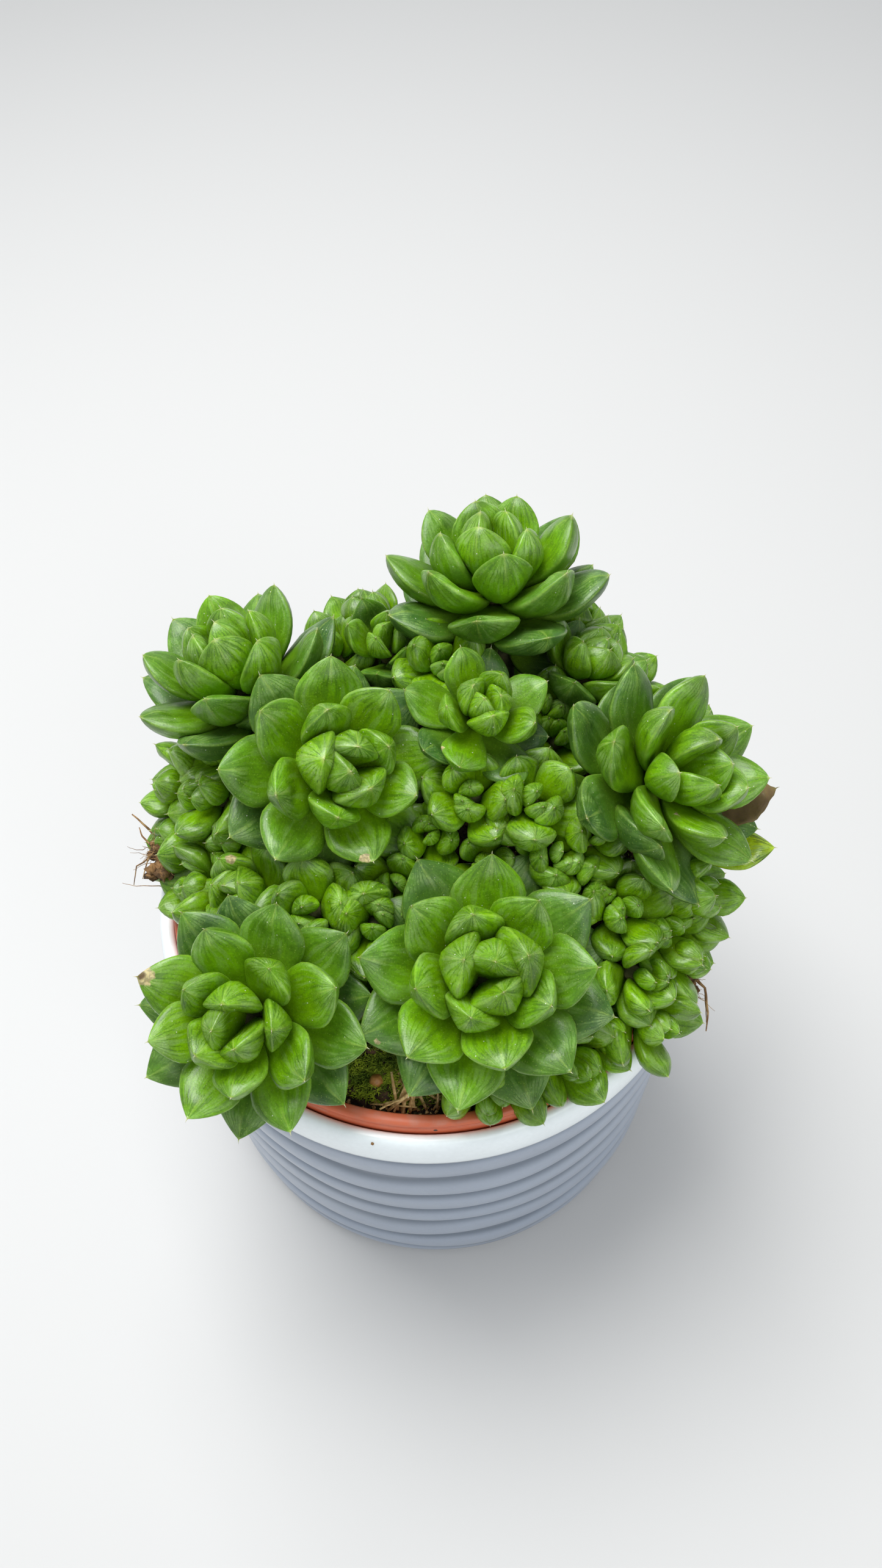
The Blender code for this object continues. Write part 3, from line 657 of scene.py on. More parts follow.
def leaf_profile(station):
    """The leaf's width along its length, as a share of its widest."""
    if station < LEAF_WIDEST:
        swell = math.sin(math.pi / 2 * station / LEAF_WIDEST)
        return LEAF_BASE_WIDTH + (1 - LEAF_BASE_WIDTH) * swell
    past = (station - LEAF_WIDEST) / (1 - LEAF_WIDEST)
    return (1 - past**1.8) ** 0.75


def tree_of(shape):
    """The shape as a tree that tells what it overlaps."""
    return BVHTree.FromPolygons(*shape)


def placed_stems():
    """Each rosette's stem, in the free spot of the peat that is nearest to below its rosette."""
    stems, trees = {}, []
    for rosette in sorted(ROSETTES, key=lambda one: one.z):
        _, _, up = axes_of(rosette)
        wanted = Vector((rosette.x, rosette.y)) - Vector((up.x, up.y)) * rosette.length * 0.6
        if wanted.length > FOOT_WANTED:
            wanted *= FOOT_WANTED / wanted.length
        spots = sorted(
            ((ring, turn) for ring in range(0, 26, 2) for turn in range(0, 360, 30) if ring or not turn),
            key=lambda spot: spot[0],
        )
        for ring, turn in spots:
            foot = wanted + ring * direction(math.radians(turn))
            if foot.length > FOOT_LIMIT:
                continue
            stem = Stem(rosette, foot)
            tree = tree_of(stem.shape(LEAF_CLEARANCE))
            if not any(tree.overlap(other) for other in trees):
                break
        else:
            raise ValueError("no room in the peat for " + rosette.name)
        stems[rosette.name] = stem
        trees.append(tree)
    return stems


def leaf_tries():
    """Ways for a leaf to make room for its neighbours, from the slightest to the strongest."""
    for size in (1, 0.9, 0.8, 0.68, 0.55):
        for lift in (0, 7, -7, 14, -14, 22, 30, 40):
            for aside in (0, 12, -12, 24, -24):
                yield lift, aside, size


def grown_leaves(stems, obstacles):
    """The leaves of each rosette, each kept clear of the pots, the peat and every other rosette."""
    ways = sorted(leaf_tries(), key=lambda way: abs(way[0]) / 12 + abs(way[1]) / 20 + (1 - way[2]) * 7)
    kept = {rosette.name: [] for rosette in ROSETTES}
    trees = {name: [tree_of(stem.shape(LEAF_CLEARANCE))] for name, stem in stems.items()}
    grown = [(rosette, index) for rosette in ROSETTES for index in range(rosette.leaves)]
    hanging = [(rosette, -age) for rosette in ROSETTES for age in range(1, rosette.old + 1)]
    for rosette, index in grown + hanging:
        others = [tree for name, found in trees.items() if name != rosette.name for tree in found]
        for lift, aside, size in ways:
            tree = tree_of(leaf_shape(rosette, index, lift, aside, size, LEAF_CLEARANCE))
            if not any(tree.overlap(other) for other in obstacles + others):
                kept[rosette.name].append((index, lift, aside, size))
                trees[rosette.name].append(tree_of(leaf_shape(rosette, index, lift, aside, size)))
                break
    return kept


def family(rosette):
    """The name of a rosette without its number."""
    return rosette.name.rstrip("_0123456789")


def new_object(name, shape, *finishes, **values):
    """A smooth object in metres from a shape in millimetres, with numbers for each of its vertices."""
    points, faces = shape
    mesh = bpy.data.meshes.new(name)
    mesh.from_pydata([point * MM for point in points], [], faces)
    for finish in finishes:
        mesh.materials.append(finish)
    mesh.shade_smooth()
    for value, numbers in values.items():
        mesh.attributes.new(value, "FLOAT", "POINT").data.foreach_set("value", numbers)
    made = bpy.data.objects.new(name, mesh)
    bpy.context.scene.collection.objects.link(made)
    return made


def settle(piece, slot, *nodes):
    """Ties a piece to the part's root and hides the nodes that it stands for. Its slot is not used."""
    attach(piece, "root")
    if nodes:
        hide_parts(*nodes)


def joined(shapes):
    """One shape from several."""
    points, faces = [], []
    for shape in shapes:
        start = len(points)
        points.extend(shape[0])
        faces.extend(tuple(start + corner for corner in face) for face in shape[1])
    return points, faces


def random_place(chance, low, high):
    """A point with each coordinate between two limits."""
    return Vector([chance.uniform(low, high) for _ in range(3)])


def tapered(radius, loss, count):
    """Radii that start with one and lose a share of it, evenly, down to the last."""
    return [radius * (1 - loss * step / (count - 1)) for step in range(count)]


def strand(line, radii, sides=6):
    """A closed tube through the points of a line, thinner or thicker at each as radii say."""
    rings = []
    for index, place in enumerate(line):
        before, after = line[max(index - 1, 0)], line[min(index + 1, len(line) - 1)]
        ahead = (after - before).normalized()
        across = ahead.orthogonal().normalized() if index == 0 else across - ahead * across.dot(ahead)
        across.normalize()
        rings.append(ring_round(place, radii[index], across, ahead.cross(across), sides))
    return lofted(rings)


def lump(centre, size, chance, flat=1.0, rough=0.35, rings=5, sides=8):
    """A small uneven clod, `flat` times as high as it is wide."""
    seed = random_place(chance, 0, 99)
    spin = Matrix.Rotation(chance.uniform(0, math.tau), 3, "Z")
    spin = spin @ Matrix.Rotation(chance.uniform(-0.4, 0.4), 3, "X")
    places = []
    for ring in range(rings):
        polar = math.pi * (ring + 0.5) / rings
        places.append([])
        for side in range(sides):
            turn = math.tau * side / sides
            out = math.sin(polar)
            way = Vector((out * math.cos(turn), out * math.sin(turn), -math.cos(polar)))
            reach = size * (1 + rough * noise.noise(way * 1.7 + seed) * 2)
            way.z *= flat
            places[-1].append(centre + spin @ (way * reach))
    return lofted(places)


def bud_leaf(rosette, number):
    """One of the youngest leaves, which lean together over the tip of the stem and close the rosette."""
    leaf = Leaf(rosette, rosette.leaves - 1 + number)
    away, width, length, start, curl = BUD_LEAVES[number]
    leaf.share = 1.0
    leaf.half_width = rosette.width * width / 2
    leaf.length = rosette.length * length
    leaf.start, leaf.curl = math.radians(start), math.radians(curl)
    leaf.root = Vector((rosette.x, rosette.y, rosette.z)) + leaf.out * rosette.length * away
    return leaf


def open_out(leaf, kind, lean, uncurl):
    """Makes a spiral's coarse leaf as open, wide and long as the photograph shows it for its place."""
    uncurl = OUTER_UNCURL + (uncurl - OUTER_UNCURL) * leaf.share
    leaf.start += leaf.curl * uncurl / 2 - math.radians(lean * leaf.share**1.5)
    leaf.curl *= 1 - uncurl
    leaf.half_width *= 1 + kind.widen * leaf.share**HEART_POWER
    leaf.length *= 1 + kind.lengthen * leaf.share**HEART_POWER


def leaf_outline(station, taper):
    """A fine leaf's width along its length, as a share of its widest: broad shoulders and a pointed end."""
    if station < LEAF_WIDEST:
        return leaf_profile(station)
    past = (station - LEAF_WIDEST) / (1 - LEAF_WIDEST)
    return (1 - past**1.6) ** taper


def blade_rings(leaf, kind, taper, chance, stations, girth):
    """A fleshy blade's sections: a crowned face above, a sharper keel below, a slight roll and bumps."""
    young = max(leaf.share, kind.youth) ** 1.5
    roll = math.radians(chance.uniform(-LEAF_ROLL, LEAF_ROLL))
    plump = chance.uniform(*LEAF_PLUMPNESS)
    seed = random_place(chance, 0, 90)
    half = leaf.half_width
    rings = []
    for station in stations:
        place, ahead, above = leaf.place(station)
        turn = Matrix.Rotation(roll * station, 3, ahead)
        across, above = turn @ leaf.across, turn @ above
        profile = leaf_outline(station, taper - 0.12 * young)
        window = math.exp(-(((station - RIDGE_PLACE) / RIDGE_REACH) ** 2))
        face = half * profile * kind.crown * plump
        ridge = half * profile * TIP_RIDGE * window * plump
        keel = half * (ROOT_KEEL * (1 - station**6) + (LEAF_KEEL + YOUNG_KEEL * young) * profile) * plump
        sharp = min(max((station - 0.3 + 0.4 * young) / 0.5, 0), 1) * kind.sharpness
        cup = LEAF_CUP * (1 - young) * math.sin(math.pi * min(station / 0.8, 1))
        ring = []
        for side, x in enumerate(girth):
            if 2 * side <= len(girth):
                height = face * (1 - abs(x) ** FACE_FULLNESS) ** 0.5
                height += ridge * (1 - abs(x)) ** RIDGE_FULLNESS
            else:
                height = -keel * (1 - abs(x) ** (KEEL_FULLNESS - 0.9 * sharp)) ** (0.5 + 0.25 * sharp)
            height += half * cup * (x * x - 0.4)
            spot = place + half * profile * x * across + height * above
            ring.append(spot + LEAF_BUMP * noise.noise(spot * BUMP_FINENESS + seed) * above * profile)
        rings.append(ring)
    return rings


def fine_leaf(rosette, leaf, index, kind):
    """A fleshy blade with an awn in its coarse leaf's place, and its surface values."""
    chance = random.Random(f"{rosette.name} leaf {index}")
    youngest, slim, lean, uncurl, taper = LOOKS.get(family(rosette), OFFSET_LOOK)
    leaf.half_width *= slim
    if index < rosette.leaves:
        open_out(leaf, kind, lean, uncurl)
    sides, steps = kind.sides, kind.stations
    girth = [math.cos(math.tau * side / sides) for side in range(sides)]
    stations = [LAST_STATION * (1 - (1 - step / (steps - 1)) ** STATION_EASE) for step in range(steps)]
    rings = blade_rings(leaf, kind, taper, chance, stations, girth)

    awn = chance.uniform(0.4, 1.0) * AWN_LENGTH * (OLD_AWN if index < 0 else 1)
    awn *= min(1, rosette.length / FULL_AWN_LEAF)
    place, ahead, above = leaf.place(1.0)
    bend = above * chance.uniform(-0.2, 0.7) + leaf.across * chance.uniform(-0.4, 0.4)
    awn_stations = ((0.0, AWN_RADIUS), (0.35, AWN_RADIUS * 0.5))
    for reach, radius in awn_stations:
        middle = place + awn * reach * (ahead + bend * reach * AWN_BEND)
        rings.append(ring_round(middle, radius, leaf.across, above, sides))
    shape = lofted(rings, place + awn * (ahead + bend * AWN_BEND))

    stations += [1.0 + reach for reach, _ in awn_stations]
    youth = youngest * (1 - kind.ageing * (1 - leaf.share) ** 1.1)
    youth = chance.uniform(0.0, 0.12) if index < 0 else youth + chance.uniform(-0.2, 0.17)
    count = len(shape[0])
    return shape, {
        "along": [station for station in stations for _ in range(sides)] + [2.0],
        "girth": girth * steps + [0.0] * (count - sides * steps),
        "youth": [min(max(youth, 0), 1)] * count,
        "chance": [chance.random()] * count,
        "dry": [max(0, *(1 - (spot - scar).length / reach for scar, reach in SCARS)) for spot in shape[0]],
    }


def rosette_piece(name, rosettes, stems, leaves, finishes):
    """One object for some rosettes: their stems and all their leaves."""
    shapes, slots = [], []
    values = {value: [] for value in SURFACE_VALUES}

    def add(shape, found, slot):
        shapes.append(shape)
        slots.extend([slot] * len(shape[1]))
        for value, numbers in values.items():
            numbers.extend(found[value])

    for rosette in rosettes:
        kind = LARGE if rosette.length >= SMALL_LEAF else SMALL
        stem = stems[rosette.name].shape(-STEM_THINNED * rosette.length * CROWN_SHARE, FINE_STEM_SIDES)
        add(stem, dict.fromkeys(SURFACE_VALUES, [0.0] * len(stem[0])), 1)
        blades = []
        for index, lift, aside, size in leaves[rosette.name]:
            kept = 1 - kind.tidy * max(index, 0) / (rosette.leaves - 1)
            size += kind.regrow * (1 - size)
            blades.append((Leaf(rosette, index, lift * kept, aside * kept, size), index))
        blades += [(bud_leaf(rosette, number), rosette.leaves + number) for number in kind.buds]
        for leaf, index in blades:
            add(*fine_leaf(rosette, leaf, index, kind), 0)
    piece = new_object(name, joined(shapes), *finishes, **values)
    piece.data.polygons.foreach_set("material_index", slots)
    settle(piece, "leaf", *[rosette.name for rosette in rosettes])


def stray_leaf_pieces(finish):
    """The leaves that stick out by themselves at the right: a withered one and one that turns yellow."""
    for name, (start, end, width, youth, dry) in STRAY_LEAVES.items():
        start, end = Vector(start), Vector(end)
        length = (end - start).length
        stray = Rosette(name, *start, lean=0, heading=0, leaves=2, length=length, width=width, first=0)
        leaf = Leaf(stray, 0)
        leaf.out = (end - start).normalized()
        leaf.across = Vector((0, 0, 1)).cross(leaf.out).normalized()
        leaf.up = leaf.out.cross(leaf.across)
        leaf.root, leaf.length = start, length
        leaf.start, leaf.curl = math.radians(STRAY_START), math.radians(STRAY_CURL)
        blade, values = fine_leaf(stray, leaf, 0, STRAY)
        values["youth"] = [youth] * len(blade[0])
        values["dry"] = [dry] * len(blade[0])
        if dry:
            for spot in blade[0]:
                folds = (height * noise.noise(spot * fineness) * leaf.up for height, fineness in CRUMPLES)
                spot += sum(folds, Vector())
        settle(new_object(name, blade, finish, **values), "leaf")


def rib_share(height):
    """How far the cover pot's wall stands out at a height: 1 on a rib's crest, 0 in the groove between."""
    crests = (LOWEST_CREST, *RIB_HEIGHTS, RIB_TOP)
    for low, high in zip(crests, crests[1:]):
        if low <= height <= high:
            share = (height - low) / (high - low)
            hollow = 0.5 - 0.5 * math.cos(math.tau * share)
            groove = math.exp(-(((share - 0.5) * (high - low) / GROOVE_WIDTH) ** 2))
            return 1 - HOLLOW_SHARE * hollow - (1 - HOLLOW_SHARE) * groove
    return 1.0


def moved(section, radius, height):
    """An outline's points, given as distances from a radius and a height."""
    return [(radius + out, height + up) for out, up in section]


def cover_pot_outline():
    """The cover pot's section, with no radius along the ribbed wall."""
    steps = round(WALL_HEIGHT / WALL_STEP)
    outline = [(0, 0), *moved(FOOT_SECTION, FOOT_R, 0)]
    outline += [(None, WALL_LOW + WALL_HEIGHT * step / steps) for step in range(steps + 1)]
    for degrees in range(-12, 91, 6):
        bend = math.radians(degrees)
        reach = COLLAR_R + (RIM_R - COLLAR_R) * math.cos(bend) ** COLLAR_ROUND
        outline.append((reach, COLLAR_LOW + (FINE_RIM_Z - COLLAR_LOW) * math.sin(bend)))
    roll = COLLAR_R - RIM_EDGE_R
    for degrees in range(105, 181, 15):
        bend = math.radians(degrees)
        outline.append((COLLAR_R + roll * math.cos(bend), FINE_RIM_Z - roll + roll * math.sin(bend)))
    outline += [(RIM_EDGE_R, RIM_Z - 5), (RIM_EDGE_R, 60), (RIM_INNER_R - 1, FLOOR_Z + 5)]
    return outline + [(RIM_INNER_R - 2, FLOOR_Z + 1.5), (RIM_INNER_R - 6, FLOOR_Z), (0, FLOOR_Z)]


def ribbed(point, height):
    """Moves a point of the plain wall out or in to the ribs, and tells how near a rib's crest it lies."""
    angle = math.atan2(point.y, point.x)
    wander = RIB_WAVE * math.sin(2 * angle + 0.11 * height)
    wander += RIB_WANDER * noise.noise(direction(angle, height * 0.03) * 2.1)
    share = rib_share(min(max(height - wander * min(1, (COLLAR_LOW - height) / 9), 0), RIB_TOP))
    ease = min(1, (height - WALL_LOW) / 5)
    depth = GROOVE_DEPTH * (1 + 0.5 * noise.noise(Vector((point.x, point.y, height)) * 0.03))
    foot = FOOT_R + FOOT_FLARE
    reach = foot + (WALL_R + WALL_BULGE - FOOT_R - FOOT_FLARE) * ease - depth * (1 - share)
    point.x, point.y = reach * math.cos(angle), reach * math.sin(angle)
    return share


def cover_pot_piece(finish):
    """The ribbed wall with its wandering grooves, sloping collar and hollow inside, turned finely; the
    collar's near white is partly painted light.
    """
    outline = cover_pot_outline()
    plain = [(WALL_R if radius is None else radius, height) for radius, height in outline]
    points, faces = turned(plain, POT_TURNS)
    ridges = [1.0] * len(points)
    for index, (radius, height) in enumerate(outline[1:-1]):
        if radius is None:
            start = 2 + index * POT_TURNS
            for number in range(start, start + POT_TURNS):
                ridges[number] = ribbed(points[number], height)
    settle(new_object("ribbed_cover_pot", (points, faces), finish, ridge=ridges), "glaze", "cover_pot")


def nursery_pot_piece(finish):
    """The thin plastic pot with its stepped lip."""
    base = FLOOR_Z + GAP
    low = LIP_TOP - LIP_HEIGHT
    wall = shell_radius(low)
    outline = [(0, base), (SHELL_BASE_R - 1, base), (SHELL_BASE_R, base + 1.5)]
    outline += [(wall - 0.3, low - 1.5), (wall, low - 0.3)]
    outline += moved(LIP_UNDERSIDE, FINE_LIP_R, low)
    outline += moved(LIP_STEPS, FINE_LIP_R, LIP_TOP)
    outline += moved(LIP_INSIDE, shell_radius(LIP_TOP) - SHELL_WALL, LIP_TOP)
    outline += [(SHELL_BASE_R - SHELL_WALL, base + SHELL_WALL), (0, base + SHELL_WALL)]
    piece = new_object("terracotta_nursery_pot", turned(outline, POT_TURNS), finish)
    piece.data.set_sharp_from_angle(angle=math.radians(SHARP_EDGE))
    settle(piece, "terracotta_plastic", "nursery_pot")


def layered(place, layers):
    """The sum of some layers of bumps at a place, each with its height, fineness and shift."""
    return sum(height * noise.noise(place * fineness + Vector(shift)) for height, fineness, shift in layers)


def peat_ground(x, y):
    """The peat's surface with its crumbs and clods."""
    reach = min(math.hypot(x, y) / SHELL_TOP_R, 1)
    place = Vector((x, y, 0))
    rough = layered(place, PEAT_CLODS) + layered(place, PEAT_CRUMBS)
    return peat_height(x, y) + rough * (1 - 0.6 * reach**8)


def peat_piece(finish):
    """The crumbly peat on the part's mound, down to the nursery pot's floor."""
    outline = [(0, PEAT_BASE_Z), (shell_radius(PEAT_BASE_Z) - PEAT_INSET - 0.4, PEAT_BASE_Z)]
    edge = peat_radius(PEAT_EDGE_Z)
    outline += [(edge * (1 - ring / PEAT_RINGS), PEAT_EDGE_Z) for ring in range(PEAT_RINGS)]
    points, faces = turned([*outline, (0, PEAT_EDGE_Z)], PEAT_TURNS)
    for point in points:
        if point.z == PEAT_EDGE_Z:
            point.z = peat_ground(point.x, point.y)
    settle(new_object("crumbly_peat", (points, faces), finish), "peat", "peat")


def peat_spot(chance, limit):
    """A random spot on the peat, up to a distance from the pots' axis."""
    reach, turn = limit * math.sqrt(chance.random()), chance.uniform(0, math.tau)
    return Vector((reach * math.cos(turn), reach * math.sin(turn)))


def on_peat(spot, lift):
    """The place on the crumbly peat at a spot, raised a little."""
    return Vector((*spot, peat_ground(*spot) + lift))


def moss_blade(ground, height, chance):
    """A narrow three-sided blade that leans out and ends in a point."""
    out = direction(chance.uniform(0, math.tau), 0)
    lean = chance.uniform(0.15, 0.95)
    side = Vector((-out.y, out.x, 0)) * chance.uniform(0.09, 0.16)
    back = out * 0.08
    middle = ground + (out * lean * 0.45 + Vector((0, 0, 0.6))) * height
    tip = ground + (out * lean + Vector((0, 0, chance.uniform(0.7, 1.0)))) * height
    return lofted([[place - side, place + side, place - back] for place in (ground, middle)], tip)


def moss_piece(finish):
    """Tufts of moss, thick by the front of the clump and sparse elsewhere on the peat."""
    chance = random.Random("moss")
    blades = []
    for number in range(MOSS_TUFTS):
        if number < MOSS_TUFTS * MOSS_HEAPED:
            spot = MOSS_CENTRE + Vector([chance.gauss(0, spread) for spread in MOSS_SPREAD])
        else:
            spot = peat_spot(chance, MOSS_REACH)
            if noise.noise(Vector((*spot, 4)) * 0.09) < 0.05:
                continue
        if spot.length <= MOSS_LIMIT:
            ground = on_peat(spot, -0.2)
            height = chance.uniform(*MOSS_HEIGHTS)
            blades += [moss_blade(ground, height, chance) for _ in range(MOSS_BLADES)]
    settle(new_object("moss", joined(blades), finish), "peat")


def straw(start, turn, tilt, length, width, chance):
    """A dry flat strip, a little bent and twisted."""
    ahead = Vector((math.cos(turn) * math.cos(tilt), math.sin(turn) * math.cos(tilt), math.sin(tilt)))
    side = ahead.cross(Vector((0, 0, 1))).normalized()
    side = Matrix.Rotation(chance.uniform(-0.8, 0.8), 3, ahead) @ side
    above = side.cross(ahead)
    bow = chance.uniform(-0.08, 0.1) * length
    rings = []
    for step in range(6):
        share = step / 5
        place = start + ahead * length * share + above * bow * math.sin(math.pi * share)
        half = side * (width / 2 * (0.5 + 0.5 * math.sin(math.pi * (0.15 + 0.7 * share))))
        thick = above * STRAW_THICKNESS
        under = [place - half - thick, place + half - thick]
        rings.append([*under, place + half + thick, place + thick * 2.2, place - half + thick])
    return lofted(rings)


def straw_piece(finish):
    """Dry bits of straw and stalk: a small heap by the front of the lip and others across the peat."""
    chance = random.Random("straw")
    bits = []
    for x, y, turn, tilt, length, width in STRAW_HEAP:
        start = on_peat((x, y), 1.4)
        bits.append(straw(start, math.radians(turn), math.radians(tilt), length, width, chance))
    for number in range(STRAW_BITS):
        if number < STRAW_BITS * STRAW_HEAPED:
            spot = STRAW_CENTRE + Vector([chance.gauss(0, spread) for spread in STRAW_SPREAD])
        else:
            spot = peat_spot(chance, STRAW_REACH)
        if spot.length > STRAW_START_LIMIT:
            continue
        turn = chance.uniform(0, math.tau)
        length, width = chance.uniform(*STRAW_LENGTHS), chance.uniform(*STRAW_WIDTHS)
        far = spot + direction(turn) * length
        if far.length > STRAW_END_LIMIT:
            turn += math.pi
            far = spot + direction(turn) * length
        start = on_peat(spot, 0.3)
        rise = peat_ground(*far) + chance.uniform(0.3, 1.5) - start.z
        bits.append(straw(start, turn, math.atan2(rise, length), length, width, chance))
    for _ in range(STRAW_CRUMBS):
        spot = STRAW_CENTRE + Vector((chance.gauss(3, 10), chance.gauss(-1.5, 1.8)))
        if spot.length < CRUMB_LIMIT:
            bits.append(lump(on_peat(spot, 0.2), chance.uniform(0.2, 0.6), chance, 0.7, 0.6, 4, 6))
    settle(new_object("straw", joined(bits), finish), "peat")


def bark_piece(finish):
    """Bark chips and clods that lie in the peat's surface."""
    chance = random.Random("bark")
    chips = []
    for number in range(BARK_CHIPS):
        spot = peat_spot(chance, BARK_REACH)
        size = chance.uniform(0.5, 1.9) if number % 6 else chance.uniform(1.6, 2.8)
        if spot.length + size <= BARK_LIMIT:
            centre = on_peat(spot, 0.15 * size)
            chips.append(lump(centre, size, chance, chance.uniform(0.35, 0.8), 0.5, 5, 7))
    settle(new_object("bark_chips", joined(chips), finish), "peat")


def pellet_piece(finish):
    """Round feed pellets, one by the moss at the front and a few more across the peat."""
    chance = random.Random("pellets")
    beads = [lump(on_peat(spot, 0.8), PELLET_R, chance, 0.95, 0.06, 14, 22) for spot in PELLET_SPOTS]
    settle(new_object("feed_pellets", joined(beads), finish), "peat")


def root_line(start, bends, chance, wander=0.5):
    """Points of a root: from start, by steps in turn, each a little off its way."""
    line = [Vector(start)]
    for bend in bends:
        for _ in range(3):
            line.append(line[-1] + Vector(bend) / 3 + random_place(chance, -wander, wander) * 0.5)
    return line


def root_piece(root_finish, clod_finish):
    """Dry roots and clods that spill over the nursery pot's lip, at the left and at the right."""
    chance = random.Random("roots")
    roots, clods = [], []
    for start, bends, radius in ROOTS:
        line = root_line(start, bends, chance)
        roots.append(strand(line, tapered(radius, 0.7, len(line))))
    for number in range(ROOT_HAIRS):
        start = CLOD_CENTRES[number % 2] + Vector([chance.gauss(0, 1.5) for _ in range(3)])
        way = direction(chance.uniform(0, math.tau), chance.uniform(-0.6, 0.7)) * chance.uniform(2, 5)
        droop = Vector((0, 0, chance.uniform(-1.5, 0.8)))
        line = root_line(start, (way * 0.6, way * 0.5 + droop), chance, 0.7)
        roots.append(strand(line, tapered(HAIR_RADIUS, 0.6, len(line)), 4))
    for number in range(CLODS):
        spread = Vector((chance.uniform(-2.6, 2.6), chance.uniform(-5, 5), chance.uniform(-2.8, 1.5)))
        centre = CLOD_CENTRES[number % 2] + spread
        clods.append(lump(centre, chance.uniform(0.6, 1.9), chance, 0.8, 0.5, 6, 8))
    clods.append(lump(RIM_CRUMB, RIM_CRUMB_R, chance, 0.7, 0.4, 6, 8))
    settle(new_object("dry_roots", joined(roots), root_finish), "peat")
    settle(new_object("peat_clods", joined(clods), clod_finish), "peat")


class Tree:
    """Adds shader nodes to one node tree and joins them. Its `place` is each point's place in metres."""

    def __init__(self, tree):
        self.tree = tree
        self.place = None

    def feed(self, socket, value):
        """Joins an output to the socket, or sets the socket to a number or a colour."""
        if isinstance(value, bpy.types.NodeSocket):
            self.tree.links.new(value, socket)
        elif socket.type == "RGBA":
            socket.default_value = (*value[:3], 1)
        else:
            socket.default_value = value

    def fill(self, sockets, **values):
        """Feeds sockets by their names, with _ for a space."""
        for label, value in values.items():
            self.feed(sockets[label.replace("_", " ")], value)

    def add(self, kind, inputs=None, **settings):
        """A new node, with its inputs fed and its settings made."""
        made = self.tree.nodes.new(kind)
        for name, value in settings.items():
            setattr(made, name, value)
        for name, value in (inputs or {}).items():
            self.feed(made.inputs[name], value)
        return made

    def math(self, operation, *values, clamp=False):
        """What an operation makes of the values, kept from 0 to 1 if clamped."""
        made = self.add("ShaderNodeMath", dict(enumerate(values)), operation=operation, use_clamp=clamp)
        return made.outputs[0]

    def product(self, *values):
        """The values multiplied together."""
        found = values[0]
        for value in values[1:]:
            found = self.math("MULTIPLY", found, value)
        return found

    def within(self, value, low, high):
        """Rises smoothly from 0 at low to 1 at high, or falls if low is above high."""
        inputs = {"Value": value, "From Min": low, "From Max": high}
        return self.add("ShaderNodeMapRange", inputs, interpolation_type="SMOOTHSTEP").outputs[0]

    def blend(self, share, first, second, kind="MIX"):
        """The first colour with a share of the second."""
        mixed = self.add("ShaderNodeMix", {0: share, 6: first, 7: second}, data_type="RGBA", blend_type=kind)
        return mixed.outputs[2]

    def tinted(self, colour, tint, value, low, high, *shares):
        """The colour, tinted by the product of the shares as the value rises from low to high."""
        return self.blend(self.product(self.within(value, low, high), *shares), colour, tint)

    def noise(self, scale, detail=2.0, distortion=0.0, place=None):
        """A soft random pattern, with `scale` as its bumps a metre."""
        inputs = {"Vector": place or self.place, "Scale": scale, "Detail": detail, "Distortion": distortion}
        return self.add("ShaderNodeTexNoise", inputs).outputs[0]

    def bump(self, height, strength, distance):
        """The surface's direction, bent by a height of up to so many millimetres."""
        inputs = {"Height": height, "Strength": strength, "Distance": distance * MM}
        return self.add("ShaderNodeBump", inputs).outputs[0]

    def value(self, name):
        """One of a piece's surface values."""
        return self.add("ShaderNodeAttribute", attribute_name=name).outputs["Fac"]

    def effect(self, name, **inputs):
        """The outputs of a shared effect, placed in this tree."""
        made = self.add("ShaderNodeGroup", node_tree=bpy.data.node_groups[name])
        self.fill(made.inputs, Place=self.place, **inputs)
        return made.outputs

    def mottled(self, colour, scale, amount):
        """The colour, lighter and darker in patches."""
        return self.effect("Mottle", Colour=colour, Scale=scale, Amount=amount)["Colour"]

    def specked(self, colour, speck, scale, share, size):
        """The colour with specks of another."""
        found = self.effect("Specks", Colour=colour, Speck_colour=speck, Scale=scale, Share=share, Size=size)
        return found["Colour"]


SOCKETS = {"number": "NodeSocketFloat", "colour": "NodeSocketColor", "place": "NodeSocketVector"}


def new_effect(name, inputs, outputs):
    """A shared effect: a node group's tree, what comes in, always with a place, and what goes out."""
    group = bpy.data.node_groups.new(name, "ShaderNodeTree")
    for label, kind in {**inputs, "Place": "place"}.items():
        group.interface.new_socket(label, in_out="INPUT", socket_type=SOCKETS[kind])
    for label, kind in outputs.items():
        group.interface.new_socket(label, in_out="OUTPUT", socket_type=SOCKETS[kind])
    tree = Tree(group)
    given = tree.add("NodeGroupInput").outputs
    tree.place = given["Place"]
    return tree, given, tree.add("NodeGroupOutput").inputs


def mottle_effect():
    """Lightens and darkens a colour in soft patches."""
    inputs = {"Colour": "colour", "Scale": "number", "Amount": "number"}
    tree, given, out = new_effect("Mottle", inputs, {"Colour": "colour"})
    patches = tree.math("SUBTRACT", tree.noise(given["Scale"], 4), 0.5)
    level = tree.math("ADD", tree.math("MULTIPLY", patches, given["Amount"]), 1.0)
    grey = tree.add("ShaderNodeCombineColor", {0: level, 1: level, 2: level}).outputs[0]
    tree.fill(out, Colour=tree.blend(1.0, given["Colour"], grey, "MULTIPLY"))


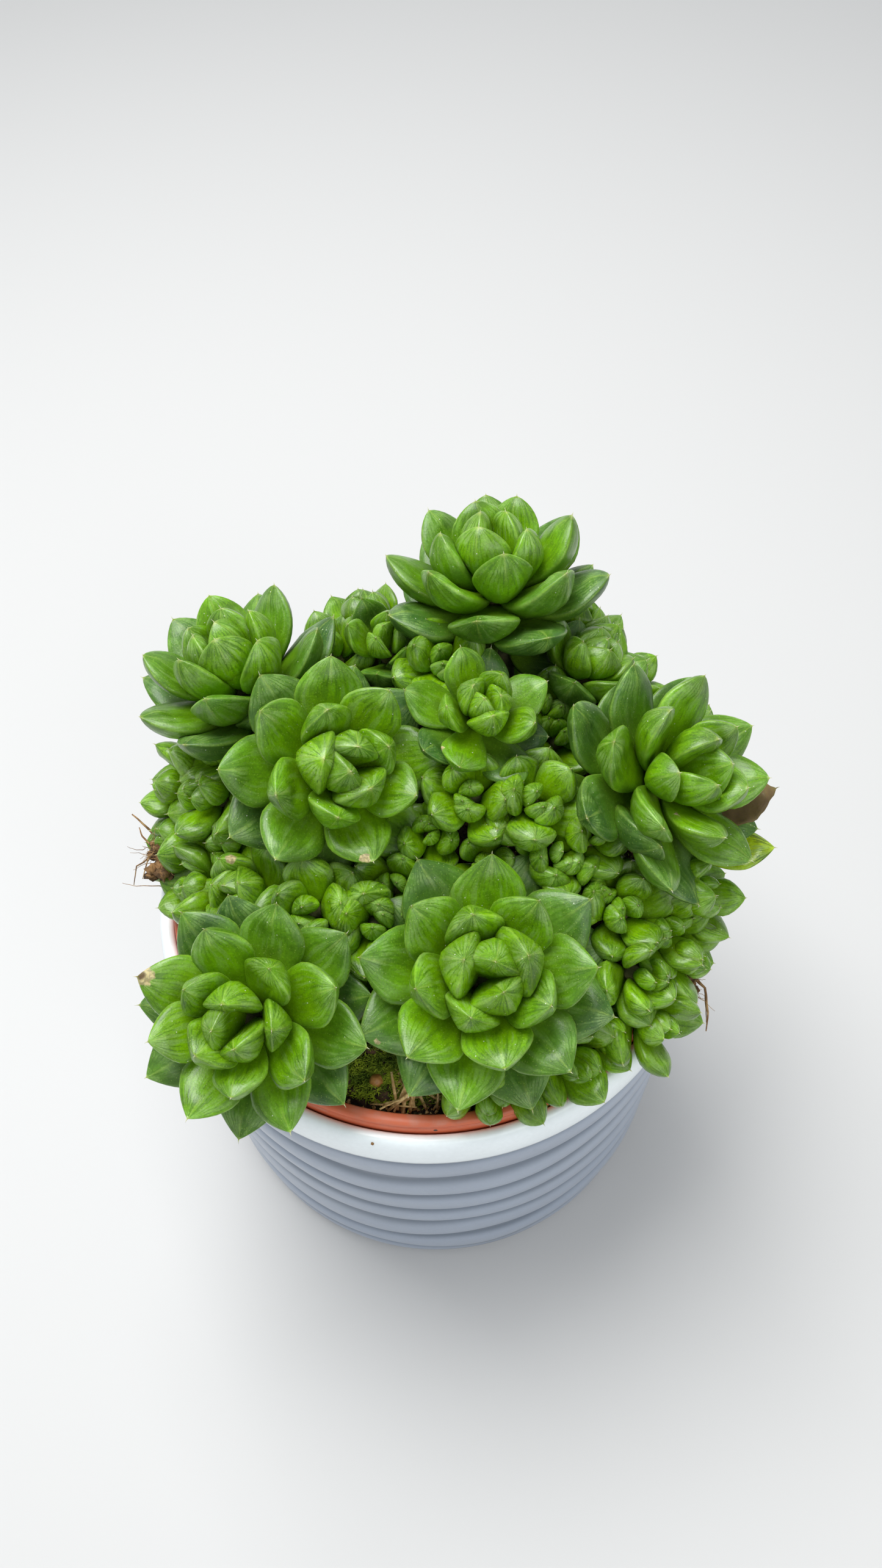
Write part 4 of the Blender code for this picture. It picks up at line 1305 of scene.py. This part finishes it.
def speck_effect():
    """Scatters small round specks of another colour."""
    inputs = dict.fromkeys(("Colour", "Speck colour"), "colour")
    inputs |= dict.fromkeys(("Scale", "Share", "Size"), "number")
    tree, given, out = new_effect("Specks", inputs, {"Colour": "colour"})
    cells = tree.add("ShaderNodeTexVoronoi", {"Vector": tree.place, "Scale": given["Scale"]}).outputs
    draw = tree.add("ShaderNodeSeparateColor", {0: cells["Color"]}).outputs[0]
    chosen = tree.math("LESS_THAN", draw, given["Share"])
    near = tree.math("SUBTRACT", 1.0, tree.math("DIVIDE", cells["Distance"], given["Size"]), clamp=True)
    tree.fill(out, Colour=tree.tinted(given["Colour"], given["Speck colour"], near, 0.1, 0.5, chosen))


def dust_effect():
    """Settles pale dust on what faces up."""
    inputs = {"Colour": "colour", "Amount": "number"}
    tree, given, out = new_effect("Dust", inputs, {"Colour": "colour"})
    normal = tree.add("ShaderNodeNewGeometry").outputs["Normal"]
    facing = tree.add("ShaderNodeSeparateXYZ", {0: normal}).outputs[2]
    patches = tree.within(tree.noise(260.0, 6), 0.42, 0.75)
    colour = tree.tinted(given["Colour"], DUST_COLOUR, facing, 0.1, 0.9, patches, given["Amount"])
    tree.fill(out, Colour=colour)


def leaf_greens(tree, given, girth):
    """The leaf's own greens: by age in soft clouds, paler at its root and cooler to its tip and margins."""
    along = given["Along"]
    cloud = tree.noise(90.0, 3)
    swing = tree.math("MULTIPLY", tree.math("SUBTRACT", cloud, 0.5), 0.45)
    tone = tree.math("ADD", given["Youth"], swing)
    colour = tree.tinted(OLD_GREEN, MID_GREEN, tone, 0.10, 0.60)
    colour = tree.tinted(colour, YOUNG_GREEN, tone, 0.4, 1.0)
    colour = tree.tinted(colour, YELLOW_GREEN, tone, 1.3, 1.6)
    colour = tree.tinted(colour, ROOT_GREEN, along, 0.85, 0.3, 0.6)
    margins = tree.product(tree.within(girth, 0.5, 0.95), 0.7)
    cool = tree.math("MAXIMUM", tree.within(along, 0.62, 0.95), margins)
    return tree.tinted(colour, TIP_GREEN, cloud, 0.35, 0.6, cool, 0.75)


def leaf_veins(tree, given, colour):
    """The colour with dark veins, pale windows between them by the tip and streaks, and the veins alone."""
    along = given["Along"]
    wobble = tree.math("MULTIPLY", tree.noise(330.0, 3), 9.0)
    turn = tree.math("MULTIPLY_ADD", given["Girth"], VEINS * math.pi, wobble)
    wave = tree.math("SINE", tree.math("MULTIPLY_ADD", given["Chance"], 9.0, turn))
    lines = tree.within(wave, 0.1, 1.0)
    broken = tree.within(tree.noise(520.0, 3, 0.8), 0.42, 0.62)
    veins = tree.product(lines, broken, tree.within(along, 0.35, 0.85))
    strength = tree.math("MULTIPLY_ADD", given["Youth"], 0.6, 0.05, clamp=True)
    colour = tree.blend(tree.product(veins, strength), colour, VEIN_GREEN)
    between = tree.math("SUBTRACT", 1.0, lines)
    by_tip = tree.within(along, 0.62, 0.92)
    colour = tree.tinted(colour, WINDOW_GREEN, tree.noise(210.0, 3, 0.6), 0.46, 0.66, by_tip, between, 0.55)

    stretched = tree.math("MULTIPLY", along, STREAK_STRETCH)
    shuffled = tree.math("MULTIPLY", given["Chance"], STREAK_SHUFFLE)
    lengthwise = tree.add("ShaderNodeCombineXYZ", {0: given["Girth"], 1: stretched, 2: shuffled}).outputs[0]
    streaks = tree.noise(STREAKS, 4, place=lengthwise)
    vivid = tree.math("MULTIPLY_ADD", given["Youth"], 0.55, 0.35, clamp=True)
    vivid = tree.product(vivid, tree.within(along, 0.28, 0.74))
    colour = tree.tinted(colour, VEIN_GREEN, streaks, 0.52, 0.64, vivid, 0.60)
    return tree.tinted(colour, WINDOW_GREEN, streaks, 0.48, 0.36, vivid, 0.50), veins


def leaf_marks(tree, given, colour):
    """The colour with mottling, grains, pale dots and scars, a dry tip, the awn and what has dried up."""
    along, dry = given["Along"], given["Dry"]
    for scale, amount in LEAF_MOTTLING:
        colour = tree.mottled(colour, scale, amount)
    colour = tree.blend(0.42, colour, tree.specked(colour, PALE_GREEN, 1900.0, 0.45, 0.32))
    colour = tree.specked(colour, SPECK_COLOUR, 1100.0, 0.045, 0.22)
    colour = tree.specked(colour, SCAR_COLOUR, 95.0, 0.03, 0.16)
    colour = tree.tinted(colour, TIP_SCAR_COLOUR, along, 0.972, 0.998, 0.45)
    colour = tree.tinted(colour, AWN_COLOUR, along, 1.0, 1.04)
    husk = tree.blend(tree.noise(300.0, 5), HUSK_DARK, HUSK_PALE)
    crust = tree.tinted(SCAR_COLOUR, CRUST_COLOUR, tree.noise(1300.0, 4), 0.40, 0.60)
    husk = tree.tinted(crust, husk, dry, 0.70, 0.85)
    ragged = tree.math("MULTIPLY_ADD", tree.noise(700.0, 4), 0.9, dry)
    return tree.tinted(colour, husk, ragged, 0.82, 0.98)


def leaf_effect():
    """A leaf's greens by age, its veins and window towards the tip, a painted highlight along its midline by
    the tip, its pale margin, specks and scars.
    """
    inputs = dict.fromkeys([value.capitalize() for value in SURFACE_VALUES], "number")
    outputs = {"Colour": "colour", "Roughness": "number", "Height": "number"}
    tree, given, out = new_effect("Leaf pattern", inputs, outputs)
    girth = tree.math("ABSOLUTE", given["Girth"])
    colour, veins = leaf_veins(tree, given, leaf_greens(tree, given, girth))
    by_tip = tree.within(given["Along"], 0.66, 0.95)
    # Painted highlight: a pale line along the middle of the face and keel by the tip, where the ridge
    # catches the light.
    colour = tree.tinted(colour, PALE_GREEN, girth, 0.13, 0.0, by_tip, 0.35)
    colour = tree.tinted(colour, PALE_GREEN, girth, 0.955, 0.995, 0.22)
    tree.fill(out, Colour=leaf_marks(tree, given, colour))

    rough = tree.math("ADD", 0.20, tree.product(tree.noise(700.0, 3), 0.20))
    rough = tree.math("ADD", rough, tree.product(tree.math("SUBTRACT", 1.0, given["Youth"]), 0.08))
    rough = tree.math("ADD", rough, tree.product(given["Dry"], 0.4), clamp=True)
    grain = tree.math("MULTIPLY_ADD", tree.noise(2200.0, 2), 0.7, tree.product(veins, 0.3))
    height = tree.math("ADD", grain, tree.product(tree.noise(330.0, 2), 0.6))
    tree.fill(out, Roughness=rough, Height=height)


def new_finish(name, **sockets):
    """A material: itself, its tree and its shader's inputs."""
    made = bpy.data.materials.new(name)
    made.use_nodes = True
    tree = Tree(made.node_tree)
    tree.place = tree.add("ShaderNodeTexCoord").outputs["Object"]
    shader = made.node_tree.nodes["Principled BSDF"].inputs
    tree.fill(shader, **sockets)
    return made, tree, shader


def leaf_finish():
    """Fleshy and a little glossy, with each leaf's own pattern."""
    flesh = {"Subsurface_Weight": 0.35, "Subsurface_Scale": 2.5 * MM, "Subsurface_Radius": (0.6, 1.0, 0.1)}
    skin = {"Specular_IOR_Level": 0.38, "Coat_Weight": 0.12, "Coat_Roughness": 0.22}
    made, tree, shader = new_finish("living_leaf", **flesh, **skin)
    look = tree.effect("Leaf pattern", **{value.capitalize(): tree.value(value) for value in SURFACE_VALUES})
    normal = tree.bump(look["Height"], 0.2, 0.35)
    tree.fill(shader, Base_Color=look["Colour"], Roughness=look["Roughness"], Normal=normal)
    return made


def stem_finish():
    """Dull brown scales."""
    made, tree, shader = new_finish("scaly_stem", Roughness=0.8)
    scales = tree.noise(240.0, 5)
    colour = tree.mottled(tree.tinted(STEM_DARK, STEM_PALE, scales, 0.35, 0.65), 700.0, 0.8)
    tree.fill(shader, Base_Color=colour, Normal=tree.bump(scales, 0.8, 0.8))
    return made


def glaze_finish():
    """A pale rippled glaze with a few specks: painted light makes the collar near white, painted shade makes
    the wall darker and the grooves darker still, where the glaze also pools.
    """
    made, tree, shader = new_finish("ribbed_glaze", Coat_Weight=0.3, Coat_Roughness=0.12)
    height = tree.add("ShaderNodeSeparateXYZ", {0: tree.place}).outputs[2]
    # Painted shade: the grooves are darker than the crests, where the glaze also pools thicker.
    colour = tree.tinted(GROOVE_GLAZE_AND_PAINTED_SHADE, WALL_GLAZE_PAINTED_SHADE, tree.value("ridge"), 0.1, 0.85)
    # Painted light: the collar's top is near white, while the wall below keeps its painted shade.
    colour = tree.tinted(colour, RIM_GLAZE_PAINTED_LIGHT, height, (COLLAR_LOW - 2.5) * MM, (COLLAR_LOW - 0.5) * MM)
    colour = tree.mottled(tree.mottled(colour, 45.0, 0.14), 900.0, 0.10)
    colour = tree.specked(colour, GLAZE_SPECK, 130.0, 0.012, 0.13)
    ripple = tree.math("ADD", tree.noise(60.0, 2), tree.product(tree.noise(400.0, 2), 0.06))
    rough = tree.math("ADD", 0.24, tree.product(tree.noise(240.0, 3), 0.18))
    tree.fill(shader, Base_Color=colour, Roughness=rough, Normal=tree.bump(ripple, 0.18, 1.0))
    return made


def terracotta_finish():
    """Terracotta-coloured plastic with dust and crumbs of dirt on it."""
    made, tree, shader = new_finish("terracotta_plastic")
    colour = tree.specked(tree.mottled(TERRACOTTA, 160.0, 0.22), TERRACOTTA_SPECK, 420.0, 0.03, 0.3)
    colour = tree.effect("Dust", Colour=colour, Amount=0.3)["Colour"]
    rough = tree.math("ADD", 0.34, tree.product(tree.noise(380.0, 4), 0.22))
    tree.fill(shader, Base_Color=colour, Roughness=rough, Normal=tree.bump(tree.noise(1400.0, 2), 0.12, 0.2))
    return made


def peat_finish():
    """Dark fibrous peat with pale grains, green in places."""
    made, tree, shader = new_finish("dark_peat", Roughness=0.95)
    fibres = tree.noise(500.0, 6, 1.2)
    colour = tree.tinted(PEAT_DARK, PEAT_PALE, fibres, 0.38, 0.68)
    colour = tree.tinted(colour, PEAT_GREEN, tree.noise(95.0, 4), 0.50, 0.62, 0.7)
    colour = tree.mottled(tree.specked(colour, PEAT_SPECK, 650.0, 0.05, 0.35), 1300.0, 0.9)
    tree.fill(shader, Base_Color=colour, Normal=tree.bump(fibres, 1.0, 1.2))
    return made


def grained_finish(name):
    """A dull natural surface: two colours in grain of one scale."""
    dark, pale, scale, roughness, amount = GRAINED[name]
    made, tree, shader = new_finish(name, Roughness=roughness)
    grain = tree.noise(scale, 5, 0.5)
    colour = tree.mottled(tree.tinted(dark, pale, grain, 0.35, 0.65), scale * 0.3, amount)
    tree.fill(shader, Base_Color=colour, Normal=tree.bump(grain, 0.5, 0.3))
    return made


def add_lamp(name, place, size, power):
    """A soft square lamp that shines on the plant."""
    lamp = bpy.data.lights.new(name, "AREA")
    lamp.size, lamp.energy = size, power
    made = bpy.data.objects.new(name, lamp)
    made.location = place
    made.rotation_euler = (Vector(LIT_POINT) - Vector(place)).to_track_quat("-Z", "Y").to_euler()
    bpy.context.scene.collection.objects.link(made)


def add_camera():
    """A camera where the photograph was taken from, turned and tilted as it was."""
    camera = bpy.data.objects.new("camera", bpy.data.cameras.new("camera"))
    camera.data.sensor_width = SENSOR
    camera.data.lens = FOCAL_PIXELS / PHOTO_HEIGHT * SENSOR
    pitch, roll = math.radians(CAMERA_PITCH), math.radians(CAMERA_ROLL)
    ahead = Vector((0, math.cos(pitch), -math.sin(pitch)))
    right = Vector((1, 0, 0))
    up = right.cross(ahead)
    tilted_right = math.cos(roll) * right + math.sin(roll) * up
    tilted_up = math.cos(roll) * up - math.sin(roll) * right
    facing = Matrix((tilted_right, tilted_up, -ahead)).transposed().to_4x4()
    camera.matrix_world = Matrix.Translation(CAMERA_PLACE) @ facing
    bpy.context.scene.collection.objects.link(camera)
    bpy.context.scene.camera = camera


def stage():
    """A plain pale floor, soft studio light and the photograph's view."""
    finish, _, _ = new_finish("pale_floor", Base_Color=FLOOR_COLOUR, Roughness=0.6)
    corners = [Vector((x, y, 0)) * FLOOR_REACH for x, y in ((-1, -1), (1, -1), (1, 1), (-1, 1))]
    floor = new_object("floor", (corners, [(0, 1, 2, 3)]), finish)

    world = bpy.data.worlds.new("soft_room")
    bpy.context.scene.world = world
    world.use_nodes = True
    sky = world.node_tree.nodes["Background"].inputs
    sky["Color"].default_value = ROOM_COLOUR
    sky["Strength"].default_value = ROOM_LIGHT
    for lamp in LAMPS:
        add_lamp(*lamp)
    add_camera()
    bpy.context.scene.view_settings.view_transform = "Standard"


def build():
    """Makes all the pieces and the stage."""
    for effect in (mottle_effect, speck_effect, dust_effect, leaf_effect):
        effect()
    cover_pot_piece(glaze_finish())
    nursery_pot_piece(terracotta_finish())
    peat_piece(peat_finish())

    obstacles = [tree_of(shape) for shape in (cover_pot_shape(), nursery_pot_shape(), peat_shape())]
    stems = placed_stems()
    leaves = grown_leaves(stems, obstacles)
    leaf, stem = leaf_finish(), stem_finish()
    groups = {}
    for rosette in ROSETTES:
        name = family(rosette).replace("rosette_", "leaves_").replace("offset_", "offsets_")
        groups.setdefault(name, []).append(rosette)
    for name, rosettes in groups.items():
        rosette_piece(name, rosettes, stems, leaves, (leaf, stem))
    stray_leaf_pieces(leaf)

    moss_piece(grained_finish("moss_green"))
    straw_piece(grained_finish("dry_straw"))
    bark_piece(grained_finish("bark"))
    pellet_piece(grained_finish("feed_pellet"))
    root_piece(grained_finish("dry_root"), grained_finish("peat_clod"))
    stage()


build()
